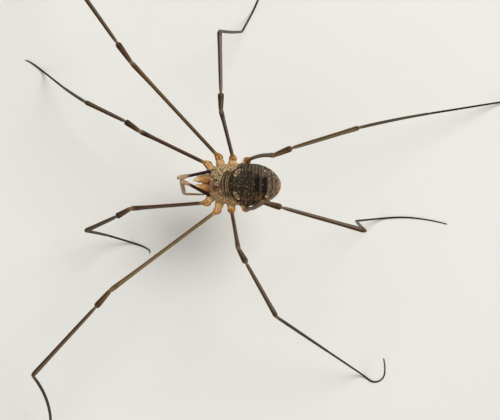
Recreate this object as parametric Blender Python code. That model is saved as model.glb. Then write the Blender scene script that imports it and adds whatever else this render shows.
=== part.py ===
"""Harvestman standing still on its eight legs, as closed solids at life size.

Sizes are in millimetres and MM turns them into metres. The head points to -Y, the
animal's left side is +X, and the ends of the tarsi lie flat on z = 0.
"""

import math

import bmesh
import bpy
from mathutils import Matrix, Vector

MM = 0.001

# Stance: the middle of the hip balls above the floor, and where the middle of the body
# stands from the middle of the leg span.
HIP_HEIGHT = 9.8
BODY_FROM_SPAN_MIDDLE = Vector((2.0, -0.4, 0.0))

# Gaps: between the segments of a limb, and round the small pieces of the head.
JOINT_GAP = 0.1
FINE_GAP = 0.05

# Body outline from front to rear: y, half width, top and underside from hip level.
CARAPACE = (
    (-3.16, 1.00, 0.42, 0.00),
    (-3.06, 1.28, 0.58, -0.14),
    (-2.86, 1.46, 0.74, -0.30),
    (-2.40, 1.66, 0.92, -0.46),
    (-2.12, 1.72, 1.00, -0.54),
    (-2.05, 1.75, 1.06, -0.56),
    (-1.86, 1.78, 1.09, -0.60),
    (-1.80, 1.80, 1.15, -0.61),
    (-1.44, 1.83, 1.18, -0.66),
)
ABDOMEN = (
    (-1.34, 1.81, 1.18, -0.52),
    (-0.80, 1.87, 1.36, -0.56),
    (-0.20, 1.90, 1.48, -0.62),
    (0.45, 1.90, 1.54, -0.68),
    (1.15, 1.84, 1.49, -0.70),
    (1.85, 1.63, 1.32, -0.60),
    (2.39, 1.32, 1.11, -0.42),
    (2.80, 0.96, 0.89, -0.20),
    (3.08, 0.58, 0.69, 0.02),
    (3.24, 0.28, 0.50, 0.18),
)
TERGITE_EDGES = (-1.34, -0.81, -0.18, 0.52, 1.23, 1.95, 2.48, 2.86, 3.08)
TERGITE_STEP = 0.07
TERGITE_LIP = 0.07
BODY_SIDES = 28
BODY_FULLNESS = 0.86

# Hip balls of legs 1 to 4 on the left side, and where each coxa starts under the body.
HIPS = {1: (1.72, -3.36), 2: (2.39, -2.41), 3: (2.36, -1.15), 4: (2.18, 0.15)}
COXA_ROOTS = {1: (0.42, -2.45), 2: (0.45, -1.90), 3: (0.48, -1.30), 4: (0.50, -0.72)}
COXA_ROOT_DROP = 0.52
COXA_ROOT_RADIUS = 0.40
COXA_TIP_RADIUS = 0.29
COXA_TO_HIP = 0.26
HIP_RADIUS = 0.30

# Head pieces.
MOUND_Y = -2.58
MOUND_HALF_WIDTH = 0.34
MOUND_HALF_LENGTH = 0.33
MOUND_HALF_HEIGHT = 0.46
MOUND_HEIGHT = 0.98
EYE_RADIUS = 0.19
EYE_OFFSET = 0.27
EYE_HEIGHT = 1.20
EYE_Y = -2.64

# Chelicerae: the basal segment reaches forward at this distance from the middle, as y,
# height and half thickness. The hand and its moving finger hang from its end, as x, y,
# height and half thickness from the horn down to the finger tips.
CHELICERA_X = 0.38
CHELICERA_BASE = ((-2.90, 0.10, 0.30), (-3.35, 0.14, 0.32), (-3.75, 0.12, 0.31), (-4.05, 0.08, 0.27))
CHELICERA_HAND = (
    (0.32, -4.60, 0.86, 0.05),
    (0.35, -4.36, 0.64, 0.15),
    (0.37, -4.16, 0.36, 0.24),
    (0.38, -4.10, 0.06, 0.29),
    (0.37, -4.12, -0.35, 0.29),
    (0.34, -4.10, -0.78, 0.23),
    (0.28, -4.02, -1.12, 0.13),
    (0.26, -3.90, -1.42, 0.06),
)
MOVING_FINGER = (
    (0.42, -4.10, -0.70, 0.15),
    (0.50, -4.04, -1.00, 0.11),
    (0.44, -3.94, -1.34, 0.05),
)

# Leg segments of pairs 1 to 4: femur from the hip ball, patella, tibia, metatarsus.
SEGMENT_NAMES = ("femur", "patella", "tibia", "metatarsus")
SEGMENT_LENGTHS = {
    1: (7.40, 1.70, 5.40, 5.80),
    2: (12.70, 2.10, 10.20, 11.00),
    3: (7.20, 1.60, 5.80, 9.60),
    4: (9.90, 1.75, 8.20, 11.80),
}
# Half thickness of each segment at its root, its middle and its far end.
SEGMENT_RADII = {
    "femur": (0.25, 0.26, 0.29),
    "patella": (0.26, 0.28, 0.31),
    "tibia": (0.26, 0.26, 0.28),
    "metatarsus": (0.25, 0.25, 0.26),
}
TARSUS_RADII = (0.25, 0.22, 0.10)
LEG_SIDES = 8
RING_STEP = 1.5
# A tarsus is followed in fine steps, and gets a ring wherever it has bent this far.
FOLLOW_STEP = 0.05
MOST_BEND = 14

# Pose of each leg, in degrees: heading and elevation of each segment, and how far its
# heading turns on the way. Heading 0 is straight ahead and grows to the animal's left.
POSES = {
    (1, "right"): ((-24, 26.5, 0), (-33, -22, 0), (-25, -38, 0), (-30, -59, -4)),
    (1, "left"): ((6, 25, 0), (30, -29, 0), (24.5, -51.5, 0), (167, -72.5, -4)),
    (2, "right"): ((-45.5, 29.5, 0), (-53, 18, 0), (-53, -26, 0), (-62, -50, -28)),
    (2, "left"): ((38.5, 23.5, 0), (51, 30, 0), (48, -30.5, 0), (122, -50, -52)),
    (3, "right"): ((-74.5, 55, 0), (-89, 24, 0), (-87, -17.5, 0), (-166, -77.5, 18)),
    (3, "left"): ((102.5, 62, 0), (121, 30, 0), (120.5, -20, 0), (145, -50.5, 0)),
    (4, "right"): ((-173.5, 76.5, 0), (-157, 25, 0), (-160.5, -40, 0), (-163, -52, -4)),
    (4, "left"): ((-157.5, 81, 0), (166, 20, 0), (166, -22.5, 0), (-66, -86, -16)),
}
# Each tarsus goes on straight, bends down to the floor and then lies along it: heading
# and elevation at its start, radius of the bend, and the runs on the floor as length
# and turn.
TARSI = {
    (1, "right"): (-36, -56, 1.4, ((0.9, 6), (0.4, 20))),
    (1, "left"): (163, -46, 1.6, ((1.0, -14), (0.4, -70))),
    (2, "right"): (-92, -36, 3.0, ((3.6, 34), (4.4, 30))),
    (2, "left"): (70, -36, 3.0, ((4.4, -26), (5.6, -30))),
    (3, "right"): (-112, -64, 1.4, ((2.2, 10), (3.4, 16))),
    (3, "left"): (144, -60, 1.4, ((1.9, 120), (1.4, 22))),
    (4, "right"): (-168, -36, 3.6, ((0.8, 0), (1.2, 12))),
    (4, "left"): (-174, -64, 1.6, ((2.2, -10), (3.2, -10))),
}
BOW = {1: 0.0, 2: 0.0, 3: 0.0, 4: 0.18}

# Palps: ball at the root, then femur, patella with tibia, tarsus as length, heading and
# elevation.
PALP_ROOT = (1.14, -2.98, 0.04)
PALP_ROOT_RADIUS = 0.27
PALP_RADII = ((0.24, 0.25), (0.26, 0.27), (0.25, 0.25), (0.24, 0.12))
PALPS = {
    "right": ((2.55, 14, 30), (0.95, 12, -26), (1.45, -162, -56), (2.3, -170, -52)),
    "left": ((2.55, -27, 29), (0.90, -20, -32), (1.50, 102, -40), (2.3, 180, -40)),
}

MATERIALS = {
    "prosoma": ((0.42, 0.33, 0.24), 0.60),
    "opisthosoma": ((0.12, 0.10, 0.09), 0.60),
    "ocularium": ((0.40, 0.24, 0.15), 0.50),
    "eye": ((0.02, 0.01, 0.01), 0.15),
    "chelicera": ((0.62, 0.38, 0.18), 0.45),
    "pedipalp": ((0.10, 0.04, 0.03), 0.45),
    "leg": ((0.16, 0.09, 0.07), 0.50),
}


def clear_scene():
    """Take every object out of the open scene."""
    for item in list(bpy.data.objects):
        bpy.data.objects.remove(item, do_unlink=True)


def material(name):
    """Material of a kind of piece, made once."""
    found = bpy.data.materials.get(name)
    if found is not None:
        return found
    colour, roughness = MATERIALS[name]
    made = bpy.data.materials.new(name)
    made.use_nodes = True
    shader = made.node_tree.nodes["Principled BSDF"]
    shader.inputs["Base Color"].default_value = (*colour, 1.0)
    shader.inputs["Roughness"].default_value = roughness
    shader.inputs["Metallic"].default_value = 0.0
    return made


def object_from(mesh, name):
    """Object in the scene for a mesh."""
    item = bpy.data.objects.new(name, mesh)
    bpy.context.scene.collection.objects.link(item)
    return item


def skin(rings, name):
    """Closed solid over rings of points, with a flat cap at each end."""
    shape = bmesh.new()
    rows = [[shape.verts.new(point) for point in ring] for ring in rings]
    for row, following in zip(rows, rows[1:]):
        for index in range(len(row)):
            after = (index + 1) % len(row)
            shape.faces.new((row[index], row[after], following[after], following[index]))
    shape.faces.new(reversed(rows[0]))
    shape.faces.new(rows[-1])
    bmesh.ops.recalc_face_normals(shape, faces=shape.faces)
    mesh = bpy.data.meshes.new(name)
    shape.to_mesh(mesh)
    shape.free()
    return object_from(mesh, name)


def ball(centre, radii, name, columns=12, rows=8):
    """Ellipsoid with its poles up and down."""
    shape = bmesh.new()
    bmesh.ops.create_uvsphere(shape, u_segments=columns, v_segments=rows, radius=1.0)
    size = Matrix.Diagonal((*radii, 1.0))
    bmesh.ops.transform(shape, matrix=Matrix.Translation(centre) @ size, verts=shape.verts)
    mesh = bpy.data.meshes.new(name)
    shape.to_mesh(mesh)
    shape.free()
    return object_from(mesh, name)


def evaluated_mesh(item):
    """Mesh of an object with its modifiers applied."""
    graph = bpy.context.evaluated_depsgraph_get()
    return bpy.data.meshes.new_from_object(item.evaluated_get(graph))


def boolean(item, others, operation):
    """Join other closed objects to one, or cut them from it, in its own mesh."""
    group = bpy.data.collections.new("operands")
    bpy.context.scene.collection.children.link(group)
    for other in others:
        group.objects.link(other)
    step = item.modifiers.new(operation, "BOOLEAN")
    step.operation = operation
    step.operand_type = "COLLECTION"
    step.collection = group
    step.solver = "EXACT"
    result = evaluated_mesh(item)
    item.modifiers.remove(step)
    item.data = result
    bpy.data.collections.remove(group)


def join(item, others):
    """Fuse closed objects into the first one and take them away."""
    boolean(item, others, "UNION")
    for other in others:
        bpy.data.objects.remove(other, do_unlink=True)
    return item


def keep_largest_shell(item):
    """Leave only the piece of the surface with the most faces."""
    shape = bmesh.new()
    shape.from_mesh(item.data)
    waiting = set(shape.faces)
    largest = set()
    while waiting:
        seed = waiting.pop()
        shell = {seed}
        edge_of_shell = [seed]
        while edge_of_shell:
            face = edge_of_shell.pop()
            for edge in face.edges:
                for neighbour in edge.link_faces:
                    if neighbour in waiting:
                        waiting.remove(neighbour)
                        shell.add(neighbour)
                        edge_of_shell.append(neighbour)
        if len(shell) > len(largest):
            largest = shell
    scraps = [face for face in shape.faces if face not in largest]
    bmesh.ops.delete(shape, geom=scraps, context="FACES")
    shape.to_mesh(item.data)
    shape.free()


def finish(item, name, material_name, cutters=()):
    """Cut a piece clear of its neighbours, bring it to metres and name it as a node."""
    if cutters:
        boolean(item, cutters, "DIFFERENCE")
        keep_largest_shell(item)
    place = BODY_FROM_SPAN_MIDDLE + Vector((0.0, 0.0, HIP_HEIGHT))
    item.data.transform(Matrix.Scale(MM, 4) @ Matrix.Translation(place))
    item.name = name
    item.data.name = name
    item.data.shade_smooth()
    item.data.set_sharp_from_angle(angle=math.radians(40))
    item.data.materials.clear()
    item.data.materials.append(material(material_name))
    return item


def sign_of(side):
    """+1 on the animal's left, -1 on its right."""
    return 1 if side == "left" else -1


def direction(heading, elevation):
    """Unit vector for a heading and an elevation in degrees."""
    turn = math.radians(heading)
    rise = math.radians(elevation)
    flat = math.cos(rise)
    return Vector((flat * math.sin(turn), -flat * math.cos(turn), math.sin(rise)))


def sideways(heading):
    """Level unit vector square to a heading."""
    turn = math.radians(heading)
    return Vector((math.cos(turn), math.sin(turn), 0.0))


def limb_ring(centre, along, side, radius, plane=None, sides=LEG_SIDES):
    """Ring round a limb, slid along it into a plane where one is given."""
    up = side.cross(along).normalized()
    points = []
    for index in range(sides):
        angle = 2 * math.pi * (index + 0.5) / sides
        offset = side * (radius * math.cos(angle)) + up * (radius * math.sin(angle))
        if plane is not None:
            offset -= along * (offset.dot(plane) / along.dot(plane))
        points.append(centre + offset)
    return points


def course(start, length, heading, elevation, turn=0.0, step=RING_STEP):
    """Stations along a segment whose heading turns evenly: place, along, side, share."""
    count = max(3, math.ceil(length / step))
    place = start.copy()
    stations = []
    for index in range(count + 1):
        share = index / count
        here = heading + turn * share
        stations.append((place.copy(), direction(here, elevation), sideways(here), share))
        middle = heading + turn * (share + 0.5 / count)
        place += direction(middle, elevation) * (length / count)
    return stations


def between(values, share):
    """Value at a share of the way through evenly spaced values."""
    reach = share * (len(values) - 1)
    index = min(int(reach), len(values) - 2)
    rest = reach - index
    return values[index] * (1 - rest) + values[index + 1] * rest


def mitred(place, along, plane, gap):
    """Centre of an end ring half a gap back from a joint's plane."""
    return place + along * (gap / 2 / along.dot(plane))


def limb_segment(stations, radii, planes, name):
    """Solid along stations, its ends cut by the planes of its two joints."""
    rings = []
    last = len(stations) - 1
    for index, (place, along, side, share) in enumerate(stations):
        radius = between(radii, share)
        if index == 0 and planes[0] is not None:
            centre = mitred(place, along, planes[0], JOINT_GAP)
            rings.append(limb_ring(centre, along, side, radius, planes[0]))
        elif index == last and planes[1] is not None:
            centre = mitred(place, along, planes[1], -JOINT_GAP)
            rings.append(limb_ring(centre, along, side, radius, planes[1]))
        else:
            rings.append(limb_ring(place, along, side, radius))
    return skin(rings, name)


def smooth_outline(stations, y):
    """Half width, top and underside of the body at y, on a curve through stations."""
    last = len(stations) - 1
    index = 0
    while index < last - 1 and stations[index + 1][0] < y:
        index += 1
    before = stations[max(index - 1, 0)]
    first = stations[index]
    second = stations[index + 1]
    after = stations[min(index + 2, last)]
    span = second[0] - first[0]
    t = (y - first[0]) / span
    values = []
    for column in (1, 2, 3):
        slope_in = (second[column] - before[column]) / (second[0] - before[0]) * span
        slope_out = (after[column] - first[column]) / (after[0] - first[0]) * span
        values.append(
            (2 * t**3 - 3 * t**2 + 1) * first[column]
            + (t**3 - 2 * t**2 + t) * slope_in
            + (3 * t**2 - 2 * t**3) * second[column]
            + (t**3 - t**2) * slope_out
        )
    return values


def body_ring(y, half_width, top, bottom):
    """Rounded cross-section of the body, widest a little above hip level."""
    middle = bottom + 0.45 * (top - bottom)
    points = []
    for index in range(BODY_SIDES):
        angle = 2 * math.pi * index / BODY_SIDES
        across = math.copysign(abs(math.cos(angle)) ** BODY_FULLNESS, math.cos(angle))
        rise = math.copysign(abs(math.sin(angle)) ** BODY_FULLNESS, math.sin(angle))
        height = top - middle if rise > 0 else middle - bottom
        points.append(Vector((half_width * across, y, middle + height * rise)))
    return points


def carapace(grow=0.0):
    """Shield over the front body, with two narrow plates along its rear edge."""
    rings = []
    for y, half_width, top, bottom in CARAPACE:
        rings.append(body_ring(y, half_width + grow, top + grow, bottom - grow))
    if grow:
        first = CARAPACE[0]
        last = CARAPACE[-1]
        rings.insert(0, body_ring(first[0] - grow, first[1], first[2], first[3]))
        rings.append(body_ring(last[0] + grow, last[1], last[2], last[3]))
    return skin(rings, "carapace")


def abdomen(grow=0.0):
    """Rear body, its tergites raised in the middle and lower along their edges."""
    rings = []
    bands = zip(TERGITE_EDGES, TERGITE_EDGES[1:])
    for front, rear in bands:
        for y, sunk in ((front, True), (front + TERGITE_LIP, False), (rear - TERGITE_LIP, False)):
            half_width, top, bottom = smooth_outline(ABDOMEN, y)
            step = TERGITE_STEP if sunk else 0.0
            rings.append(
                body_ring(y, half_width - 0.6 * step + grow, top - step + grow, bottom - grow)
            )
    for y in TERGITE_EDGES[-1:] + (ABDOMEN[-1][0],):
        half_width, top, bottom = smooth_outline(ABDOMEN, y)
        rings.append(body_ring(y, half_width + grow, top + grow, bottom - grow))
    if grow:
        y, half_width, top, bottom = ABDOMEN[0]
        rings.insert(0, body_ring(y - grow, half_width, top, bottom))
    return skin(rings, "abdomen")


def coxa(pair, side, grow=0.0):
    """First segment of a leg, fixed under the front body, with a flat far end."""
    sign = sign_of(side)
    root_x, root_y = COXA_ROOTS[pair]
    hip_x, hip_y = HIPS[pair]
    root = Vector((sign * root_x, root_y, -COXA_ROOT_DROP))
    hip = Vector((sign * hip_x, hip_y, 0.0))
    along = (hip - root).normalized()
    across = along.cross(Vector((0.0, 0.0, 1.0))).normalized()
    tip = hip - along * (COXA_TO_HIP - grow)
    base = root - along * grow
    rings = []
    for share, radius in ((0.0, COXA_ROOT_RADIUS), (0.6, COXA_ROOT_RADIUS - 0.02),
                          (0.85, COXA_TIP_RADIUS + 0.04), (1.0, COXA_TIP_RADIUS)):
        centre = base.lerp(tip, share)
        rings.append(limb_ring(centre, along, across, radius + grow, sides=10))
    return skin(rings, f"coxa_{pair}_{side}")


def all_coxae(grow=0.0):
    """Coxae of the eight legs."""
    return [coxa(pair, side, grow) for pair in HIPS for side in ("left", "right")]


def mound(grow=0.0):
    """Rounded turret that carries the eyes."""
    centre = Vector((0.0, MOUND_Y, MOUND_HEIGHT))
    radii = (MOUND_HALF_WIDTH + grow, MOUND_HALF_LENGTH + grow, MOUND_HALF_HEIGHT + grow)
    return ball(centre, radii, "mound", 16, 12)


def make_head_pieces(body_cutters):
    """Turret, eyes and chelicerae."""
    mound_cutter = mound(FINE_GAP)
    finish(mound(), "ocularium", "ocularium", body_cutters["fine"])
    for side in ("left", "right"):
        centre = Vector((sign_of(side) * EYE_OFFSET, EYE_Y, EYE_HEIGHT))
        eye = ball(centre, (EYE_RADIUS,) * 3, "eye", 12, 10)
        finish(eye, f"eye_{side}", "eye", [mound_cutter, *body_cutters["fine"]])
        make_chelicera(side, body_cutters["joint"])
    bpy.data.objects.remove(mound_cutter, do_unlink=True)


def path_tube(points, radii, name, sides=10):
    """Solid through points in a plane square to X, round at each point's radius."""
    rings = []
    last = len(points) - 1
    for index, (point, radius) in enumerate(zip(points, radii)):
        along = (points[min(index + 1, last)] - points[max(index - 1, 0)]).normalized()
        across = Vector((1.0, 0.0, 0.0))
        across = (across - along * across.dot(along)).normalized()
        rings.append(limb_ring(point, along, across, radius, sides=sides))
    return skin(rings, name)


def hand(sign, grow=0.0):
    """Second segment of a chelicera: horn above, fixed finger below."""
    points = [Vector((sign * x, y, z)) for x, y, z, _ in CHELICERA_HAND]
    radii = [radius + grow for *_, radius in CHELICERA_HAND]
    return path_tube(points, radii, "hand")


def moving_finger(sign):
    """Outer finger of a chelicera, closing on the fixed one."""
    points = [Vector((sign * x, y, z)) for x, y, z, _ in MOVING_FINGER]
    return path_tube(points, [radius for *_, radius in MOVING_FINGER], "finger", 8)


def make_chelicera(side, body_cutters):
    """Basal segment and hand of one chelicera."""
    sign = sign_of(side)
    points = [Vector((sign * CHELICERA_X, y, z)) for y, z, _ in CHELICERA_BASE]
    base = path_tube(points, [radius for *_, radius in CHELICERA_BASE], "base", 12)
    hand_cutter = hand(sign, JOINT_GAP)
    finish(base, f"chelicera_{side}_base", "chelicera", [hand_cutter, *body_cutters])
    bpy.data.objects.remove(hand_cutter, do_unlink=True)
    whole_hand = join(hand(sign), [moving_finger(sign)])
    finish(whole_hand, f"chelicera_{side}_hand", "chelicera")


def chain(start, parts):
    """Stations of limb segments laid end to end, and the planes of their joints."""
    courses = []
    place = start
    for length, heading, elevation, turn in parts:
        stations = course(place, length, heading, elevation, turn)
        courses.append(stations)
        place = stations[-1][0]
    planes = [None]
    for before, after in zip(courses, courses[1:]):
        planes.append((before[-1][1] + after[0][1]).normalized())
    planes.append(None)
    return courses, planes


def make_palp(side, body_cutters):
    """Pedipalp: root ball with femur, patella with tibia, tarsus."""
    sign = sign_of(side)
    x, y, z = PALP_ROOT
    start = Vector((sign * x, y, z))
    courses, planes = chain(start, [(*part, 0.0) for part in PALPS[side]])
    femur = limb_segment(courses[0], PALP_RADII[0], (None, planes[1]), "femur")
    femur = join(femur, [ball(start, (PALP_ROOT_RADIUS,) * 3, "root", 10, 8)])
    finish(femur, f"pedipalp_{side}_femur", "pedipalp", body_cutters)
    patella = limb_segment(courses[1], PALP_RADII[1], (planes[1], planes[2]), "patella")
    finish(patella, f"pedipalp_{side}_patella", "pedipalp")
    tibia = limb_segment(courses[2], PALP_RADII[2], (planes[2], planes[3]), "tibia")
    finish(tibia, f"pedipalp_{side}_tibia", "pedipalp")
    tarsus = limb_segment(courses[3], PALP_RADII[3], (planes[3], None), "tarsus")
    finish(tarsus, f"pedipalp_{side}_tarsus", "pedipalp")


def tarsus_stations(start, pair, side):
    """Stations of a tarsus that comes down straight, bends level and lies on the floor."""
    heading, elevation, bend, runs = TARSI[(pair, side)]
    flat_share = math.cos(math.pi / LEG_SIDES)
    fall = math.radians(-elevation)
    floor = -HIP_HEIGHT + TARSUS_RADII[1] * flat_share
    bend_drop = bend * (1 - math.cos(fall))
    lead = (start.z - floor - bend_drop) / math.sin(fall)
    bend_length = bend * fall
    length = lead + bend_length + sum(run for run, _ in runs)
    count = math.ceil(length / FOLLOW_STEP)
    step = length / count
    marks = [lead + bend_length]
    for run, _ in runs:
        marks.append(marks[-1] + run)
    place = start.copy()
    raw = []
    travelled = 0.0
    for index in range(count + 1):
        here = heading
        for (run, turn), begin in zip(runs, marks):
            here += turn * min(max((travelled - begin) / run, 0.0), 1.0)
        into_bend = min(max((travelled - lead) / bend_length, 0.0), 1.0)
        rise = elevation * (1 - into_bend)
        raw.append((place.copy(), direction(here, rise), sideways(here), travelled / length))
        place += direction(here, rise) * step
        travelled += step
    touch = (lead + bend_length) / length
    return spaced(raw), touch


def spaced(raw):
    """Few stations where a course is straight and more where it bends."""
    kept = [raw[0]]
    for station in raw[1:-1]:
        bent = math.degrees(kept[-1][1].angle(station[1]))
        gone = (station[0] - kept[-1][0]).length
        if bent > MOST_BEND or gone > RING_STEP:
            kept.append(station)
    kept.append(raw[-1])
    return kept


def make_tarsus(pair, side, start, plane):
    """Many-jointed last segment of a leg, its far part flat on the floor."""
    stations, touch = tarsus_stations(start, pair, side)
    flat_share = math.cos(math.pi / LEG_SIDES)
    rings = []
    for index, (place, along, across, share) in enumerate(stations):
        radius = TARSUS_RADII[0] + (TARSUS_RADII[1] - TARSUS_RADII[0]) * min(share / touch, 1)
        if share >= touch - 1e-6:
            beyond = (share - touch) / (1 - touch)
            radius = TARSUS_RADII[1] + (TARSUS_RADII[2] - TARSUS_RADII[1]) * beyond
            place.z = -HIP_HEIGHT + radius * flat_share
            along = Vector((along.x, along.y, 0.0)).normalized()
        if index == 0:
            centre = mitred(place, along, plane, JOINT_GAP)
            rings.append(limb_ring(centre, along, across, radius, plane))
        else:
            rings.append(limb_ring(place, along, across, radius))
    for point in (point for ring in rings for point in ring):
        point.z = max(point.z, -HIP_HEIGHT)
    tarsus = skin(rings, "tarsus")
    finish(tarsus, f"leg_{pair}_{side}_tarsus", "leg")


def make_leg(pair, side, body_cutters):
    """Leg from its hip ball to the tip of its tarsus."""
    sign = sign_of(side)
    hip_x, hip_y = HIPS[pair]
    hip = Vector((sign * hip_x, hip_y, 0.0))
    parts = [(length, *pose) for length, pose in zip(SEGMENT_LENGTHS[pair], POSES[(pair, side)])]
    courses, planes = chain(hip, parts)
    for station in courses[0]:
        station[0].x += sign * BOW[pair] * math.sin(math.pi * station[3])
    tarsus_heading, tarsus_elevation = TARSI[(pair, side)][:2]
    first_step = direction(tarsus_heading, tarsus_elevation)
    planes[-1] = (courses[-1][-1][1] + first_step).normalized()
    for index, name in enumerate(SEGMENT_NAMES):
        segment = limb_segment(
            courses[index], SEGMENT_RADII[name], (planes[index], planes[index + 1]), name
        )
        cutters = ()
        if name == "femur":
            segment = join(segment, [ball(hip, (HIP_RADIUS,) * 3, "hip", 12, 8)])
            cutters = body_cutters
        finish(segment, f"leg_{pair}_{side}_{name}", "leg", cutters)
    make_tarsus(pair, side, courses[-1][-1][0], planes[-1])


def main():
    """Make every node of the animal."""
    clear_scene()
    joint_cutters = [carapace(JOINT_GAP), abdomen(JOINT_GAP), *all_coxae(JOINT_GAP)]
    fine_cutters = [carapace(FINE_GAP)]
    cutters = {"joint": joint_cutters, "fine": fine_cutters}
    finish(join(carapace(), all_coxae()), "prosoma", "prosoma", [joint_cutters[1]])
    finish(abdomen(), "opisthosoma", "opisthosoma")
    make_head_pieces(cutters)
    for side in ("left", "right"):
        make_palp(side, joint_cutters)
        for pair in HIPS:
            make_leg(pair, side, joint_cutters)
    for cutter in joint_cutters + fine_cutters:
        bpy.data.objects.remove(cutter, do_unlink=True)


main()
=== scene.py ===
"""Looks of a harvestman that stands still on a pale floor.

Sizes are in millimetres round the middle of the hips, as the solids have them, and each
piece is brought to metres in the frame at the end of its making. The head points to -Y
and the animal's left side is +X. Colours are named in ordinary display values.
"""

import math
import random

import bpy
import numpy as np
from mathutils import Matrix, Vector, noise
from mathutils.bvhtree import BVHTree


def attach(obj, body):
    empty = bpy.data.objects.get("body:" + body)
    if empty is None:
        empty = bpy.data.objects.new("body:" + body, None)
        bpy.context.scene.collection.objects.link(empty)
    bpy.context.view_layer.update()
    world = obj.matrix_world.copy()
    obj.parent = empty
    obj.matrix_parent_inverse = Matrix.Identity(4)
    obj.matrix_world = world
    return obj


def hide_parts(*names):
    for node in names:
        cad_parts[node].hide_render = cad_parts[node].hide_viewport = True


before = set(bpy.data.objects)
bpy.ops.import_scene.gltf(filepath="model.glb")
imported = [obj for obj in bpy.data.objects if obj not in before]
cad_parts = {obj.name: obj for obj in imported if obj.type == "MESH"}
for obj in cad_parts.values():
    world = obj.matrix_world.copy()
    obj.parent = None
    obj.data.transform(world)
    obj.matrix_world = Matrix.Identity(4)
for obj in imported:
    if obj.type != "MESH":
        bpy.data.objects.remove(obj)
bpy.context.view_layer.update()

MM = 0.001
UP = Vector((0.0, 0.0, 1.0))
SIDES = {"left": 1, "right": -1}

# Stance: the middle of the hips above the floor, and where the middle of the body stands
# from the middle of the leg span.
HIP_HEIGHT = 9.8
BODY_FROM_SPAN_MIDDLE = Vector((2.0, -0.4, 0.0))
TO_FRAME = Matrix.Scale(MM, 4) @ Matrix.Translation(
    BODY_FROM_SPAN_MIDDLE + Vector((0.0, 0.0, HIP_HEIGHT))
)

# Camera: straight above, the head to the left of the picture, the body's middle a little
# left of and above its centre. The picture's width is taken at a level over the hips.
CAMERA_ABOVE_HIPS = 180.4
CAMERA_PLACE = (2.275, 0.508)
CAMERA_TURN = 1.5
PICTURE_WIDTH = 44.85
PICTURE_LEVEL = 0.4
SENSOR = 36.0

# Trunk from front to rear: y, half width, top and underside from hip level.
TRUNK = (
    (-3.16, 0.92, 0.38, 0.04),
    (-3.08, 1.22, 0.54, -0.12),
    (-2.86, 1.46, 0.74, -0.30),
    (-2.40, 1.66, 0.92, -0.46),
    (-1.92, 1.76, 1.05, -0.57),
    (-1.40, 1.82, 1.17, -0.64),
    (-0.80, 1.87, 1.36, -0.56),
    (-0.20, 1.90, 1.48, -0.62),
    (0.45, 1.90, 1.54, -0.68),
    (1.15, 1.84, 1.49, -0.70),
    (1.85, 1.63, 1.32, -0.60),
    (2.39, 1.32, 1.11, -0.42),
    (2.80, 0.96, 0.89, -0.20),
    (3.08, 0.58, 0.69, 0.02),
    (3.22, 0.26, 0.50, 0.20),
)
# Where the trunk is widest, as a share of its height.
WIDEST_SHARE = 0.45
TRUNK_SIDES = 96
TRUNK_STEP = 0.05
TRUNK_FULLNESS = 0.86
SKIN_VOXEL = 0.026
SHARP_ANGLE = math.radians(62)

# Grooves across the back: y at the middle, and how far the ends sweep to the rear.
TERGITE_GROOVES = (
    (-0.81, 0.22), (-0.18, 0.14), (0.52, 0.02), (1.23, -0.10),
    (1.95, -0.20), (2.48, -0.34), (2.86, -0.60),
)
# Rows of tubercles: y at the middle, sweep of the ends and reach to each side.
TUBERCLE_ROWS = (
    (-1.01, 0.20, 1.00), (-0.56, 0.16, 1.15), (0.04, 0.08, 1.25), (0.81, -0.04, 1.20),
    (1.50, -0.14, 1.10), (2.19, -0.26, 0.85), (2.62, -0.40, 0.60), (2.93, -0.60, 0.35),
)
TUBERCLE_SPACING = 0.19
# Rise and half width along a tubercle, as shares of its radius.
TUBERCLE_PROFILE = ((-0.6, 1.15), (0.0, 1.0), (0.7, 0.72), (1.3, 0.40), (1.7, 0.12))
SHIELD_TUBERCLES = 90
# Brighter tubercles: x, y and radius.
BRIGHT_TUBERCLES = (
    (0.21, -0.60, 0.050), (0.21, 0.20, 0.055), (-0.02, 0.84, 0.048), (-0.02, 1.57, 0.044),
    (-0.42, -0.33, 0.036), (0.81, 0.32, 0.036), (0.70, -0.53, 0.034), (-0.20, 0.22, 0.034),
)

# Arcs across the shield, by y at the middle and sweep, and their relief: arc, how far
# behind it, half width, reach to each side and height.
SHIELD_GROOVE = (-1.48, 0.30)
SHIELD_LINE = (-1.85, 0.12)
SHIELD_ARC = (-2.17, 0.30)
SHIELD_RELIEF = (
    (SHIELD_GROOVE, 0.0, 0.050, 1.25, -0.085),
    (SHIELD_LINE, 0.0, 0.035, 0.75, -0.040),
    (SHIELD_ARC, 0.0, 0.045, 1.25, -0.035),
    (SHIELD_ARC, 0.13, 0.07, 0.9, 0.030),
    (SHIELD_LINE, 0.17, 0.09, 0.9, 0.030),
)
# Pair of oblique ovals behind the shield: place, turn in degrees and half lengths.
OVAL_PLACE = (1.03, -0.72)
OVAL_TURN = 36.0
OVAL_HALF = (0.36, 0.14)
# Stripes of the flanks, half width of the saddle by y, and the dark arcs behind it as
# place, width and share.
STRIPE_SPACING = 0.31
SADDLE_EDGE = (
    (-1.6, 0.95), (-1.3, 0.90), (-0.9, 0.72), (-0.35, 1.15), (0.3, 1.25), (0.9, 1.05),
    (1.25, 0.85), (1.5, 0.76), (1.98, 0.72),
)
REAR_ARCS = ((2.08, 0.05, 0.5), (2.30, 0.045, 0.8), (2.50, 0.05, 0.85), (2.74, 0.04, 0.5))
# Underside: y of its grooves, and middle and half size of the genital plate.
BELLY_GROOVES = (0.25, 0.75, 1.25, 1.72, 2.14, 2.50)
PLATE_MIDDLE = -1.15
PLATE_HALF = (0.36, 1.10)

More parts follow.
